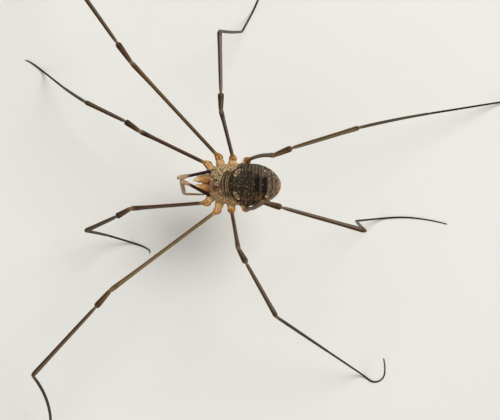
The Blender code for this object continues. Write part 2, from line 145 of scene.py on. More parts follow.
# Hips of legs 1 to 4 on the left side, and where each coxa starts under the body.
HIPS = {1: (1.72, -3.36), 2: (2.39, -2.41), 3: (2.36, -1.15), 4: (2.18, 0.15)}
COXA_ROOTS = {1: (0.42, -2.45), 2: (0.45, -1.90), 3: (0.48, -1.30), 4: (0.50, -0.72)}
COXA_ROOT_DROP = 0.52
COXA_TO_HIP = 0.24
COXA_PROFILE = ((0.0, 0.34), (0.35, 0.42), (0.62, 0.43), (0.82, 0.40), (0.93, 0.385), (1.0, 0.31))

# Eye turret and the eye on its left side.
MOUND_PLACE = Vector((0.0, -2.58, 0.98))
MOUND_HALF = Vector((0.33, 0.33, 0.45))
EYE_PLACE = Vector((0.27, -2.66, 1.20))
EYE_RADIUS = 0.185

# Leg segments of pairs 1 to 4: femur from the hip, patella, tibia, metatarsus.
SEGMENT_NAMES = ("femur", "patella", "tibia", "metatarsus")
SEGMENT_LENGTHS = {
    1: (7.40, 1.70, 5.40, 5.80),
    2: (12.70, 2.10, 10.20, 11.00),
    3: (7.20, 1.60, 5.80, 9.60),
    4: (9.90, 1.75, 8.20, 11.80),
}
# Pose of each leg, in degrees: heading and elevation of each segment, and how far its
# heading turns on the way. Heading 0 is straight ahead and grows to the animal's left.
POSES = {
    (1, "right"): ((-24, 26.5, 0), (-33, -22, 0), (-25, -38, 0), (-30, -59, -4)),
    (1, "left"): ((6, 25, 0), (30, -29, 0), (24.5, -51.5, 0), (167, -72.5, -4)),
    (2, "right"): ((-45.5, 29.5, 0), (-53, 18, 0), (-53, -26, 0), (-62, -50, -28)),
    (2, "left"): ((38.5, 23.5, 0), (51, 30, 0), (48, -30.5, 0), (122, -50, -52)),
    (3, "right"): ((-74.5, 55, 0), (-89, 24, 0), (-87, -17.5, 0), (-166, -77.5, 18)),
    (3, "left"): ((102.5, 62, 0), (121, 30, 0), (120.5, -20, 0), (145, -50.5, 0)),
    (4, "right"): ((-173.5, 76.5, 0), (-157, 25, 0), (-160.5, -40, 0), (-163, -52, -4)),
    (4, "left"): ((-157.5, 81, 0), (166, 20, 0), (166, -22.5, 0), (-66, -86, -16)),
}
# Each tarsus goes on straight, bends down to the floor and then lies along it: heading
# and elevation at its start, radius of the bend, and the runs on the floor as length
# and turn.
TARSI = {
    (1, "right"): (-36, -56, 1.4, ((0.9, 6), (0.4, 20))),
    (1, "left"): (163, -46, 1.6, ((1.0, -14), (0.4, -70))),
    (2, "right"): (-92, -36, 3.0, ((3.6, 34), (4.4, 30))),
    (2, "left"): (70, -36, 3.0, ((4.4, -26), (5.6, -30))),
    (3, "right"): (-112, -64, 1.4, ((2.2, 10), (3.4, 16))),
    (3, "left"): (144, -60, 1.4, ((1.9, 120), (1.4, 22))),
    (4, "right"): (-168, -36, 3.6, ((0.8, 0), (1.2, 12))),
    (4, "left"): (-174, -64, 1.6, ((2.2, -10), (3.2, -10))),
}
# How far each femur bows outward halfway along.
BOW = {1: 0.0, 2: 0.0, 3: 0.0, 4: 0.18}

# Half thickness along each segment, as share of its length and radius.
SEGMENT_PROFILES = {
    "femur": ((0.0, 0.15), (0.02, 0.172), (0.5, 0.172), (0.76, 0.182), (0.88, 0.208),
              (0.95, 0.232), (0.99, 0.225), (1.0, 0.19)),
    "patella": ((0.0, 0.18), (0.06, 0.205), (0.35, 0.235), (0.70, 0.272), (0.90, 0.285),
                (1.0, 0.22)),
    "tibia": ((0.0, 0.11), (0.015, 0.130), (0.06, 0.160), (0.3, 0.186), (0.7, 0.198),
              (0.95, 0.230), (1.0, 0.17)),
    "metatarsus": ((0.0, 0.10), (0.02, 0.140), (0.2, 0.145), (0.6, 0.132), (0.96, 0.115),
                   (1.0, 0.090)),
}
# How angular each segment is between its ridges.
RIDGE_SHARES = {"femur": 0.75, "patella": 0.65, "tibia": 0.70, "metatarsus": 0.10}
RIDGES = 5
# How tan each segment is at its root, how strong the painted highlight on its upper ridge
# is, how far before its end it is darkest, and how pale its end is.
SEGMENT_MARKS = {
    "femur": (0.85, 0.45, 0.62, 0.60),
    "patella": (0.05, 0.25, 0.25, 0.10),
    "tibia": (0.05, 0.65, 0.30, 0.25),
    "metatarsus": (0.10, 0.15, 0.30, 0.10),
}
# How far the stripes along a leg lean outward, its painted highlight, glow and shade among them.
STRIPE_LEAN = math.radians(28)
# Radius along each trochanter, by the distance from the hip, and its folds and teeth.
TROCHANTER_PROFILE = (
    (-0.36, 0.14), (-0.33, 0.26), (-0.20, 0.325), (0.0, 0.335), (0.16, 0.300), (0.32, 0.235),
    (0.44, 0.19), (0.48, 0.10),
)
TROCHANTER_SIDES = 24
TROCHANTER_TEETH = 16
TROCHANTER_FOLDS = 6
# Where each coxa's pale rim ends, from the hip.
COXA_RIMS = {1: -0.19, 2: -0.19, 3: -0.17, 4: -0.06}
# Knuckles between segments: share of the next segment's radius, and the widest of them.
KNUCKLE_SHARE = 0.92
WIDEST_KNUCKLE = 0.165
DENTICLE_SPACING = 0.30
# Half thickness of a tarsus at its start, where it touches the floor and at its tip.
TARSUS_RADII = (0.100, 0.084, 0.046)
TARSUS_STEP = 0.06
# Length of a tarsus's first link, with the others ever shorter.
TARSOMERE = 0.68
LIMB_STEP = 0.10
LIMB_SIDES = 20

# Palps: where the femur starts, radius of the root by the distance from there, then femur,
# patella, tibia and tarsus as length, heading and elevation, and their radius by share of
# their length.
PALP_ROOT = Vector((1.14, -2.98, 0.04))
PALP_ROOT_PROFILE = (
    (-0.55, 0.18), (-0.35, 0.25), (-0.1, 0.265), (0.1, 0.235), (0.22, 0.16), (0.26, 0.10),
)
PALPS = {
    "right": ((2.55, 14, 30), (0.95, 12, -26), (1.45, -162, -56), (2.3, -170, -52)),
    "left": ((2.55, -27, 29), (0.90, -20, -32), (1.50, 102, -40), (2.3, 180, -40)),
}
PALP_PROFILES = (
    ((0.0, 0.13), (0.06, 0.165), (0.4, 0.155), (0.8, 0.135), (0.95, 0.14), (1.0, 0.12)),
    ((0.0, 0.12), (0.15, 0.165), (0.6, 0.205), (0.88, 0.225), (1.0, 0.17)),
    ((0.0, 0.14), (0.12, 0.185), (0.6, 0.195), (0.92, 0.180), (1.0, 0.13)),
    ((0.0, 0.08), (0.08, 0.105), (0.4, 0.100), (0.85, 0.080), (1.0, 0.05)),
)

# Chelicerae: basal segment as x, y, height and half thickness, hand from the horn down
# to the finger tips, and the moving finger.
CHELICERA_BASE = (
    (0.40, -2.90, 0.08, 0.27), (0.41, -3.10, 0.11, 0.325), (0.415, -3.42, 0.13, 0.345),
    (0.405, -3.72, 0.12, 0.325), (0.395, -3.95, 0.11, 0.285), (0.38, -4.08, 0.10, 0.20),
)
CHELICERA_WIDTH = 1.2
SPINE_STEP = 0.035
CHELICERA_HAND = (
    (0.28, -4.66, 0.88, 0.012),
    (0.29, -4.57, 0.80, 0.075),
    (0.32, -4.38, 0.62, 0.20),
    (0.355, -4.18, 0.38, 0.295),
    (0.38, -4.09, 0.06, 0.33),
    (0.37, -4.12, -0.35, 0.29),
    (0.34, -4.10, -0.78, 0.22),
    (0.28, -4.02, -1.12, 0.12),
    (0.26, -3.92, -1.36, 0.05),
    (0.26, -3.88, -1.44, 0.012),
)
MOVING_FINGER = (
    (0.41, -4.12, -0.62, 0.11),
    (0.45, -4.11, -0.76, 0.13),
    (0.50, -4.05, -1.00, 0.09),
    (0.46, -3.97, -1.26, 0.05),
    (0.41, -3.91, -1.40, 0.012),
)
# Upper lip between the chelicerae: y, height and radius.
LABRUM = (
    (-2.60, -0.26, 0.10), (-2.70, -0.26, 0.20), (-3.20, -0.30, 0.20), (-3.60, -0.34, 0.16),
    (-3.80, -0.38, 0.10), (-3.86, -0.40, 0.03),
)
# Bristles of the chelicera's hand, and the heights that their roots are given at.
HAND_BRISTLES = 46
HAND_LEVELS = (-0.5, 0.1, 0.4, 0.75)

# Lights as name, place in metres, size and power, the colour of the surroundings, and half
# the floor's width in metres.
LIGHTS = (
    ("key_light", (-0.16, 0.14, 0.34), 0.20, 1.28),
    ("fill_light", (0.22, -0.20, 0.26), 0.30, 0.34),
)
SURROUNDINGS = (1.0, 0.98, 0.94, 1.0)
FLOOR_HALF = 0.6


def colour(red, green, blue):
    """Linear colour for display values from 0 to 255."""
    display = np.array((red, green, blue)) / 255.0
    return np.where(display <= 0.04045, display / 12.92, ((display + 0.055) / 1.055) ** 2.4)


CREAM = colour(220, 196, 146)
TAN = colour(184, 144, 86)
ORANGE = colour(178, 124, 58)
DEEP_ORANGE = colour(128, 76, 26)
ROSY_CREAM = colour(214, 176, 132)
HORN_BROWN = colour(44, 24, 14)
NEAR_BLACK = colour(22, 15, 12)
SHIELD_BEIGE = colour(168, 141, 98)
SHIELD_GREY = colour(104, 86, 62)
SHIELD_BROWN = colour(134, 88, 44)
SHIELD_PALE = colour(204, 184, 146)
SHIELD_DARK = colour(84, 62, 38)
COLLAR_BROWN = colour(66, 50, 34)
COLLAR_PALE = colour(150, 130, 102)
SADDLE_DARK = colour(43, 34, 20)
SADDLE_BROWN = colour(54, 39, 23)
SADDLE_BLACK = colour(17, 12, 8)
SADDLE_SPECK = colour(102, 88, 60)
SLATE = colour(66, 68, 64)
RUST = colour(112, 62, 26)
BLOOD_BROWN = colour(62, 22, 12)
LILAC_GREY = colour(62, 53, 44)
LAVENDER = colour(142, 128, 122)
REAR_TAN = colour(116, 96, 74)
REAR_PALE = colour(160, 138, 110)
REAR_DARK = colour(54, 41, 32)
SALMON = colour(172, 132, 102)
FLANK_BROWN = colour(86, 68, 46)
FLANK_DARK = colour(34, 24, 15)
FLANK_PALE = colour(158, 140, 108)
BELLY = colour(200, 182, 146)
JOINT_PALE = colour(130, 104, 78)
OVAL_PINK = colour(136, 108, 88)
PALP_DARK = colour(30, 12, 10)
PALP_GREY = colour(188, 160, 132)
PALP_TAN = colour(176, 136, 82)
PALP_ROSE = colour(124, 80, 54)
# How grey each segment of a palp is on top, which also sets the strength of its painted highlight.
PALP_GREYNESS = (0.0, 0.75, 0.40, 0.10)
# Orange-brown of the painted glow where light shines through the edges of a leg.
LEG_EDGE_GLOW = colour(124, 78, 34)
BROW_FOOT = colour(150, 122, 100)
TOOTH_FOOT = HORN_BROWN * 1.6
FLOOR_TONES = (colour(226, 225, 219), colour(232, 231, 226))
# What a darker cloud leaves of each part of a colour.
DEEPER = np.array((0.78, 0.62, 0.42))
TUBERCLE_FOOT = colour(84, 68, 50)
TUBERCLE_TIP = colour(176, 164, 136)

# Lines along the shield's arcs: arc, how far behind it, half width, reach to each side,
# colour and share.
SHIELD_ARCS = (
    (SHIELD_ARC, 0.02, 0.055, 1.05, SADDLE_BLACK, 0.90),
    (SHIELD_ARC, 0.14, 0.045, 0.90, COLLAR_PALE, 0.75),
    (SHIELD_LINE, 0.0, 0.050, 0.90, SADDLE_BLACK, 0.95),
    (SHIELD_LINE, 0.13, 0.045, 0.80, COLLAR_PALE, 0.75),
    (SHIELD_GROOVE, -0.11, 0.035, 0.95, COLLAR_PALE, 0.60),
)
# Spots on the back: colour, share, x, y and size.
SHIELD_SPOTS = (
    (RUST, 0.85, 0.24, -2.36, 0.36), (RUST, 0.50, 0.45, -2.62, 0.30),
    (BLOOD_BROWN, 0.85, 0.20, -2.32, 0.16), (BLOOD_BROWN, 0.60, -0.25, -2.38, 0.13),
    (CREAM, 0.9, 0.02, -2.30, 0.05),
)
SLATE_SPOTS = ((SLATE, 0.85, -0.84, -0.08, 0.36), (SLATE, 0.45, -0.4, -0.7, 0.42))
PALE_SPOTS = (
    (CREAM, 0.9, -1.26, 1.77, 0.08), (CREAM, 0.9, 1.04, 1.93, 0.09), (CREAM, 0.9, 1.28, 2.32, 0.06),
)
# Tints along the parts of a chelicera, by share of its length.
BASE_TINTS = ((0.0, DEEP_ORANGE), (0.35, DEEP_ORANGE), (0.7, ORANGE), (1.0, TAN))
HAND_TINTS = (
    (0.0, ORANGE), (0.10, CREAM), (0.22, TAN), (0.6, TAN), (0.8, ORANGE), (0.90, HORN_BROWN),
    (1.0, NEAR_BLACK),
)
FINGER_TINTS = ((0.0, TAN), (0.4, ORANGE), (0.65, HORN_BROWN), (1.0, NEAR_BLACK))
# Colours of each leg's femur, patella, tibia and metatarsus, and its painted ridge highlight.
LEG_COLOURS = {
    (1, "right"): ((52, 33, 18), (56, 38, 24), (64, 50, 28), (62, 50, 28), (116, 98, 76)),
    (1, "left"): ((68, 46, 30), (74, 54, 32), (74, 58, 32), (58, 46, 24), (112, 90, 76)),
    (2, "right"): ((96, 73, 42), (68, 47, 26), (66, 50, 28), (60, 48, 28), (122, 98, 74)),
    (2, "left"): ((114, 90, 56), (72, 52, 26), (70, 54, 28), (62, 50, 28), (142, 118, 90)),
    (3, "right"): ((70, 46, 20), (74, 55, 34), (82, 66, 44), (54, 43, 20), (140, 128, 128)),
    (3, "left"): ((84, 60, 38), (78, 60, 42), (80, 64, 40), (64, 52, 32), (124, 106, 98)),
    (4, "right"): ((94, 70, 32), (86, 64, 32), (84, 69, 38), (66, 54, 32), (126, 106, 80)),
    (4, "left"): ((98, 74, 40), (80, 58, 34), (82, 68, 42), (64, 52, 28), (126, 106, 96)),
}
TARSUS_COLOUR = colour(26, 21, 12)


def mix(base, other, share):
    """Blend of two colours, by a share for each point."""
    share = np.clip(np.asarray(share, dtype=float), 0.0, 1.0)[..., None]
    return base * (1.0 - share) + other * share


def smooth(low, high, values):
    """0 below low, 1 above high, and a soft step between."""
    t = np.clip((np.asarray(values, dtype=float) - low) / (high - low), 0.0, 1.0)
    return t * t * (3.0 - 2.0 * t)


def near(values, centre, width):
    """1 at a value and falling away softly over a width."""
    return np.exp(-(((np.asarray(values, dtype=float) - centre) / width) ** 2))


def within(values, low, high, soft=0.1):
    """1 between two values and 0 outside, with soft ends."""
    return smooth(low - soft, low + soft, values) * (1.0 - smooth(high - soft, high + soft, values))


def paint(tint, *layers):
    """A tint under layers from first to last, each a colour and its share."""
    for other, share in layers:
        tint = mix(tint, other, share)
    return tint


def grain(points, size, seed=0):
    """Soft noise from -1 to 1 at each point, with lumps of about a given size."""
    shift = Vector((7.3 * seed, 3.1 * seed, 5.7 * seed))
    return np.array([noise.noise(Vector(point) / size + shift) for point in points])


def direction(heading, elevation):
    """Unit vector for a heading and an elevation in degrees."""
    turn = math.radians(heading)
    rise = math.radians(elevation)
    flat = math.cos(rise)
    return Vector((flat * math.sin(turn), -flat * math.cos(turn), math.sin(rise)))


def sideways(heading):
    """Level unit vector square to a heading."""
    turn = math.radians(heading)
    return Vector((math.cos(turn), math.sin(turn), 0.0))


def outward(along, up, angle):
    """Direction out of a limb at an angle round it, from its side over its top."""
    return along.cross(up).normalized() * math.cos(angle) + up * math.sin(angle)


def round_angles(sides):
    """Angles evenly round a circle."""
    return [2 * math.pi * index / sides for index in range(sides)]


def ridged(angle, share):
    """Reach of a ring at an angle: 1 at each ridge and less between, by how angular it is."""
    facet = 2 * math.pi / RIDGES
    away = (angle - math.pi / 2 + facet / 2) % facet - facet / 2
    away = facet / 2 - abs(away)
    return 1.0 - share * (1.0 - math.cos(facet / 2) / math.cos(away))


def round_ring(centre, along, radius, sides=20, up=UP, ridge=0.0, flat=1.0):
    """Ring round a limb, its top towards up, with ridges along the limb."""
    side = along.cross(up)
    if side.length < 1e-4:
        side = Vector((1.0, 0.0, 0.0))
    side.normalize()
    top = side.cross(along).normalized()
    points = []
    for angle in round_angles(sides):
        reach = radius * ridged(angle, ridge)
        across = side * (reach * math.cos(angle))
        points.append(centre + across + top * (reach * flat * math.sin(angle)))
    return points


def ball_rings(centre, half, levels, sides):
    """Rings of an ellipsoid, at levels from -1 at its foot to 1 at its top."""
    rings = []
    for level in levels:
        flat = math.sqrt(1 - level**2)
        ring = []
        for turn in round_angles(sides):
            across = (half.x * flat * math.cos(turn), half.y * flat * math.sin(turn))
            ring.append(centre + Vector((*across, half.z * level)))
        rings.append(ring)
    return rings


def new_object(name, data):
    """New object in the scene."""
    item = bpy.data.objects.new(name, data)
    bpy.context.scene.collection.objects.link(item)
    return item


def along_profile(profile, share):
    """Value of a profile of shares and values at a share."""
    return float(np.interp(share, [s for s, _ in profile], [v for _, v in profile]))


class Shape:
    """Points, faces and tints gathered for one mesh."""

    def __init__(self):
        self.points = []
        self.tints = []
        self.faces = []

    def add(self, points, faces, tints):
        """Take in a piece of surface with a tint for each point."""
        start = len(self.points)
        self.points.extend(points)
        self.tints.extend(tints)
        self.faces.extend(tuple(start + index for index in face) for face in faces)

    def tube(self, rings, tints):
        """Closed tube over rings of points, with a tint for each point of each ring."""
        sides = len(rings[0])
        points = [point for ring in rings for point in ring]
        shades = [tint for ring in tints for tint in ring]
        faces = []
        for row in range(len(rings) - 1):
            for index in range(sides):
                a = row * sides + index
                b = row * sides + (index + 1) % sides
                faces.append((a, b, b + sides, a + sides))
        for row, turned in ((0, True), (len(rings) - 1, False)):
            centre = len(points)
            points.append(sum((Vector(point) for point in rings[row]), Vector()) / sides)
            shades.append(tints[row][0])
            for index in range(sides):
                a = row * sides + index
                b = row * sides + (index + 1) % sides
                faces.append((b, a, centre) if turned else (a, b, centre))
        self.add(points, faces, shades)

    def sleeve(self, sections, tint, sides=20, up=UP):
        """Closed round tube of one tint, over places with their directions and radii."""
        rings = [round_ring(place, along, radius, sides, up) for place, along, radius in sections]
        self.tube(rings, [[tint] * sides for _ in rings])

    def cone(self, base, axis, radius, height, tints, sides=5):
        """Small closed cone, with a tint for its foot and one for its tip."""
        across = axis.orthogonal().normalized()
        other = axis.cross(across).normalized()
        points = []
        for angle in round_angles(sides):
            way = across * (radius * math.cos(angle))
            points.append(base + way + other * (radius * math.sin(angle)))
        points.append(base + axis * height)
        faces = [(index, (index + 1) % sides, sides) for index in range(sides)]
        faces.append(tuple(reversed(range(sides))))
        self.add(points, faces, [tints[0]] * sides + [tints[1]])

    def place(self, name, material, slot, nodes):
        """Object with the tints as a colour attribute, riding on the frame in place of its nodes."""
        mesh = bpy.data.meshes.new(name)
        mesh.from_pydata([tuple(point) for point in self.points], [], self.faces)
        mesh.transform(TO_FRAME)
        tint = mesh.color_attributes.new("tint", "FLOAT_COLOR", "POINT")
        values = np.ones((len(self.points), 4), dtype=np.float32)
        values[:, :3] = np.clip(np.array(self.tints, dtype=np.float32), 0.0, 1.0)
        tint.data.foreach_set("color", values.ravel())
        mesh.shade_smooth()
        mesh.set_sharp_from_angle(angle=SHARP_ANGLE)
        mesh.validate()
        mesh.materials.append(material)
        piece = new_object(name, mesh)
        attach(piece, "root")
        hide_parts(*nodes)


class Nodes:
    """Short way to make and link the nodes of a material."""

    def __init__(self, name):
        self.material = bpy.data.materials.new(name)
        self.material.use_nodes = True
        self.tree = self.material.node_tree

    def fill(self, node, inputs):
        """Link a node's inputs to sockets, or set them to values."""
        for key, value in inputs.items():
            if isinstance(value, bpy.types.NodeSocket):
                self.tree.links.new(value, node.inputs[key])
            else:
                node.inputs[key].default_value = value

    def add(self, kind, output, inputs, **settings):
        """Output of a new node of a kind, with its inputs and settings."""
        node = self.tree.nodes.new(kind)
        for key, value in settings.items():
            setattr(node, key, value)
        self.fill(node, inputs)
        return node.outputs[output]

    def place(self):
        """Place on the surface in millimetres."""
        inputs = {"Vector": self.add("ShaderNodeTexCoord", "Object", {}), "Scale": [1 / MM] * 3}
        return self.add("ShaderNodeMapping", "Vector", inputs)

    def noise(self, place, scale, detail):
        """Noise with a number of lumps to a millimetre."""
        inputs = {"Vector": place, "Scale": scale, "Detail": detail, "Roughness": 0.55}
        return self.add("ShaderNodeTexNoise", "Fac", inputs)

    def spread(self, source, low, high):
        """Noise drawn out to a range of values."""
        inputs = {"Value": source, "From Min": 0.3, "From Max": 0.7, "To Min": low, "To Max": high}
        return self.add("ShaderNodeMapRange", "Result", inputs)

    def ramp(self, source, low, high):
        """Colour from one to another over a value."""
        node = self.tree.nodes.new("ShaderNodeValToRGB")
        for element, tone in zip(node.color_ramp.elements, (low, high)):
            element.color = (*tone, 1.0)
        self.fill(node, {"Fac": source})
        return node.outputs["Color"]

    def times(self, first, second):
        """Product of a colour and a grey value."""
        inputs = {"Factor": 1.0, "A": first, "B": second}
        return self.add("ShaderNodeMix", "Result", inputs, data_type="RGBA", blend_type="MULTIPLY")

    def bump(self, height, strength, distance, **under):
        """Bump of a height, over an earlier one where it is given as Normal."""
        inputs = {"Height": height, "Strength": strength, "Distance": distance * MM, **under}
        return self.add("ShaderNodeBump", "Normal", inputs)

    def finish(self, looks):
        """The material, with the shader's own sockets linked or set."""
        self.fill(self.tree.nodes["Principled BSDF"], looks)
        return self.material


def cuticle(name, speckle, gloss, fine_bump, shine, waxy=0.0):
    """Horny skin tinted by the mesh: speckle of its colour, range of its roughness."""
    nodes = Nodes(name)
    place = nodes.place()
    shaded = nodes.add("ShaderNodeAttribute", "Color", {}, attribute_name="tint")
    fine = nodes.noise(place, 16.0, 4.0)
    coarse = nodes.noise(place, 3.5, 3.0)
    for grey, reach in ((fine, speckle), (coarse, 0.5 * speckle)):
        shaded = nodes.times(shaded, nodes.spread(grey, 1.0 - reach, 1.0 + reach))
    pits = nodes.add(
        "ShaderNodeTexVoronoi", "Distance", {"Vector": place, "Scale": 22.0}, feature="F1"
    )
    pitted = nodes.bump(pits, 0.35, fine_bump)
    looks = {
        "Base Color": shaded,
        "Roughness": nodes.spread(fine, *gloss),
        "Normal": nodes.bump(fine, 0.5, fine_bump, Normal=pitted),
        "Specular IOR Level": shine,
    }
    if waxy:
        looks["Subsurface Weight"] = waxy
        looks["Subsurface Radius"] = (1.0, 0.5, 0.25)
        looks["Subsurface Scale"] = 0.15 * MM
    return nodes.finish(looks)


def eye_material():
    """Deep glossy eye, dark red where the light goes in."""
    nodes = Nodes("eye_gloss")
    cloud = nodes.noise(nodes.place(), 5.0, 2.0)
    return nodes.finish({
        "Base Color": nodes.ramp(cloud, (0.004, 0.003, 0.004), (0.035, 0.006, 0.010)),
        "Roughness": nodes.spread(cloud, 0.06, 0.14),
        "Coat Weight": 0.6,
        "Coat Roughness": 0.05,
    })


def outline_at(y):
    """Half width, top and underside of the trunk at one or more y."""
    y = np.asarray(y, dtype=float)
    table = np.array(TRUNK)
    places = table[:, 0]
    index = np.clip(np.searchsorted(places, y, side="right") - 1, 0, len(places) - 2)
    before = np.clip(index - 1, 0, None)
    after = np.clip(index + 2, None, len(places) - 1)
    span = places[index + 1] - places[index]
    t = np.clip((y - places[index]) / span, 0.0, 1.0)
    values = []
    for column in (1, 2, 3):
        curve = table[:, column]
        slope_in = (curve[index + 1] - curve[before]) / (places[index + 1] - places[before]) * span
        slope_out = (curve[after] - curve[index]) / (places[after] - places[index]) * span
        values.append(
            (2 * t**3 - 3 * t**2 + 1) * curve[index]
            + (t**3 - 2 * t**2 + t) * slope_in
            + (3 * t**2 - 2 * t**3) * curve[index + 1]
            + (t**3 - t**2) * slope_out
        )
    return values


def fuller(value):
    """Sine or cosine of a ring's angle, changed so that the ring fills its corners a little more."""
    return math.copysign(abs(value) ** TRUNK_FULLNESS, value)


def trunk_rings():
    """Rings over the whole trunk."""
    count = math.ceil((TRUNK[-1][0] - TRUNK[0][0]) / TRUNK_STEP)
    rings = []
    for y in np.linspace(TRUNK[0][0], TRUNK[-1][0], count + 1):
        half_width, top, bottom = (float(value) for value in outline_at(y))
        middle = bottom + WIDEST_SHARE * (top - bottom)
        ring = []
        for angle in round_angles(TRUNK_SIDES):
            rise = fuller(math.sin(angle))
            height = top - middle if rise > 0 else middle - bottom
            ring.append(Vector((half_width * fuller(math.cos(angle)), y, middle + height * rise)))
        rings.append(ring)
    return rings


def hip_place(pair, side):
    """Hip of a leg, where its femur turns."""
    return Vector((SIDES[side] * HIPS[pair][0], HIPS[pair][1], 0.0))


def coxa_line(pair, side):
    """Root and far end of a coxa."""
    root = Vector((SIDES[side] * COXA_ROOTS[pair][0], COXA_ROOTS[pair][1], -COXA_ROOT_DROP))
    hip = hip_place(pair, side)
    return root, hip - (hip - root).normalized() * COXA_TO_HIP


def coxa_rings(pair, side):
    """Rings of a coxa, swollen in the middle and rimmed at its far end."""
    root, tip = coxa_line(pair, side)
    along = (tip - root).normalized()
    return [
        round_ring(root.lerp(tip, float(share)), along, along_profile(COXA_PROFILE, share), 28)
        for share in np.linspace(0.0, 1.0, 25)
    ]


def skin_base():
    """Trunk, coxae and turret melted into one even mesh: points, normals and faces."""
    rough = Shape()
    mound = ball_rings(MOUND_PLACE, MOUND_HALF, np.linspace(-0.9, 0.98, 18), 32)
    coxae = [coxa_rings(pair, side) for pair in HIPS for side in SIDES]
    for rings in [trunk_rings(), mound] + coxae:
        rough.tube(rings, [[CREAM] * len(ring) for ring in rings])
    mesh = bpy.data.meshes.new("rough_skin")
    mesh.from_pydata([tuple(point) for point in rough.points], [], rough.faces)
    item = new_object("rough_skin", mesh)
    melt = item.modifiers.new("melt", "REMESH")
    melt.mode = "VOXEL"
    melt.voxel_size = SKIN_VOXEL
    ease = item.modifiers.new("ease", "SMOOTH")
    ease.factor = 0.5
    ease.iterations = 6
    graph = bpy.context.evaluated_depsgraph_get()
    made = bpy.data.meshes.new_from_object(item.evaluated_get(graph))
    points = np.zeros(len(made.vertices) * 3)
    normals = np.zeros(len(made.vertices) * 3)
    made.vertices.foreach_get("co", points)
    made.vertices.foreach_get("normal", normals)
    faces = [tuple(face.vertices) for face in made.polygons]
    bpy.data.objects.remove(item, do_unlink=True)
    bpy.data.meshes.remove(mesh)
    bpy.data.meshes.remove(made)
    return points.reshape(-1, 3), normals.reshape(-1, 3), faces


def arc_offset(points, arc):
    """How far behind an arc across the back each point lies."""
    middle, sweep = arc
    return points[:, 1] - (middle + sweep * points[:, 0] ** 2)


def tergite_offset(points, groove):
    """How far behind a tergite's groove each point lies."""
    middle, sweep = groove
    half_width = outline_at(points[:, 1])[0]
    return points[:, 1] - (middle + sweep * (points[:, 0] / np.maximum(half_width, 0.4)) ** 2)


def oval_distance(points):
    """Distance from the pair of oblique ovals behind the shield: 1 at their rim."""
    turn = math.radians(OVAL_TURN)
    across = np.abs(points[:, 0]) - OVAL_PLACE[0]
    back = points[:, 1] - OVAL_PLACE[1]
    long_way = (across * math.cos(turn) + back * math.sin(turn)) / OVAL_HALF[0]
    short_way = (-across * math.sin(turn) + back * math.cos(turn)) / OVAL_HALF[1]
    return np.sqrt(long_way**2 + short_way**2)


def plate_distance(points):
    """Distance from the middle of the genital plate, 1 at its rim."""
    away = points[:, :2] / np.array(PLATE_HALF) - np.array((0.0, PLATE_MIDDLE / PLATE_HALF[1]))
    return np.sqrt((away**2).sum(axis=1))


def belly_groove(points, place, width):
    """1 along a groove across the underside and falling away over a width."""
    return near(points[:, 1], place + 0.10 * np.abs(points[:, 0]), width)


def coxa_nearness(points):
    """For each point, 1 on a coxa and 0 away from all, and the share along it."""
    best = np.full(len(points), 9.0)
    along = np.zeros(len(points))
    for pair in HIPS:
        for side in SIDES:
            root, tip = (np.array(end) for end in coxa_line(pair, side))
            line = tip - root
            share = np.clip((points - root) @ line / (line @ line), 0.0, 1.0)
            gap = np.linalg.norm(points - (root + share[:, None] * line), axis=1)
            radius = np.interp(share, *zip(*COXA_PROFILE))
            closer = gap - radius < best
            best = np.where(closer, gap - radius, best)
            along = np.where(closer, share, along)
    return 1.0 - smooth(0.0, 0.10, best), along


def body_masks(points):
    """Shares of each region of the body that its relief and its colours both use."""
    half_width, top, bottom = outline_at(points[:, 1])
    middle = bottom + WIDEST_SHARE * (top - bottom)
    rise = (points[:, 2] - middle) / (top - middle)
    on_back = smooth(0.05, 0.45, rise)
    coxa, coxa_share = coxa_nearness(points)
    return {
        "rise": rise,
        "back": on_back,
        "under": smooth(0.1, 0.6, -rise),
        "over": np.abs(points[:, 0]) / np.maximum(half_width, 0.3),
        "shield": 1.0 - smooth(-0.05, 0.05, arc_offset(points, SHIELD_GROOVE)),
        "coxa": coxa * (1.0 - on_back),
        "coxa_share": coxa_share,
    }


def body_relief(points, masks):
    """Height of the skin's grooves, folds and swellings at each point."""
    back = masks["back"]
    no_shield = 1.0 - masks["shield"]
    no_coxa = 1.0 - masks["coxa"]
    tergal = back * no_shield * (1.0 - smooth(0.78, 0.98, masks["over"]))
    height = np.zeros(len(points))
    for groove in TERGITE_GROOVES:
        offset = tergite_offset(points, groove)
        height += (0.022 * near(offset, -0.17, 0.10) - 0.050 * near(offset, 0.0, 0.055)) * tergal
    for arc, away, width, reach, depth in SHIELD_RELIEF:
        line = near(arc_offset(points, arc), away, width) * near(points[:, 0], 0.0, reach)
        height += depth * line * back
    oval = oval_distance(points)
    height += back * (0.030 * near(oval, 1.0, 0.25) - 0.030 * near(oval, 0.0, 0.7))
    folds = np.sin(13.0 * points[:, 2] + 2.2 * grain(points, 0.7, 1))
    pleura = (1.0 - tergal) * no_shield * no_coxa
    height += 0.018 * folds * pleura * smooth(-0.6, 0.0, masks["rise"])
    ripples = grain(points * np.array((0.6, 1.8, 1.0)), 0.26, 2)
    height += 0.042 * ripples * back * masks["shield"]
    height += 0.030 * grain(points, 0.17, 3) * (0.4 + 0.6 * back)
    height += 0.014 * grain(points, 0.08, 4)
    for place in BELLY_GROOVES:
        height -= 0.055 * belly_groove(points, place, 0.05) * masks["under"] * no_coxa
    plate = plate_distance(points)
    plateau = 0.070 * (1.0 - smooth(0.80, 1.0, plate)) - 0.050 * near(plate, 1.08, 0.08)
    return height + plateau * masks["under"]


def spots(points, table):
    """Layers for spots on the back, from their colour, share, x, y and size."""
    layers = []
    for other, share, x, y, size in table:
        away = (points[:, 0] - x) ** 2 + (points[:, 1] - y) ** 2
        layers.append((other, share * np.exp(-away / size**2)))
    return layers


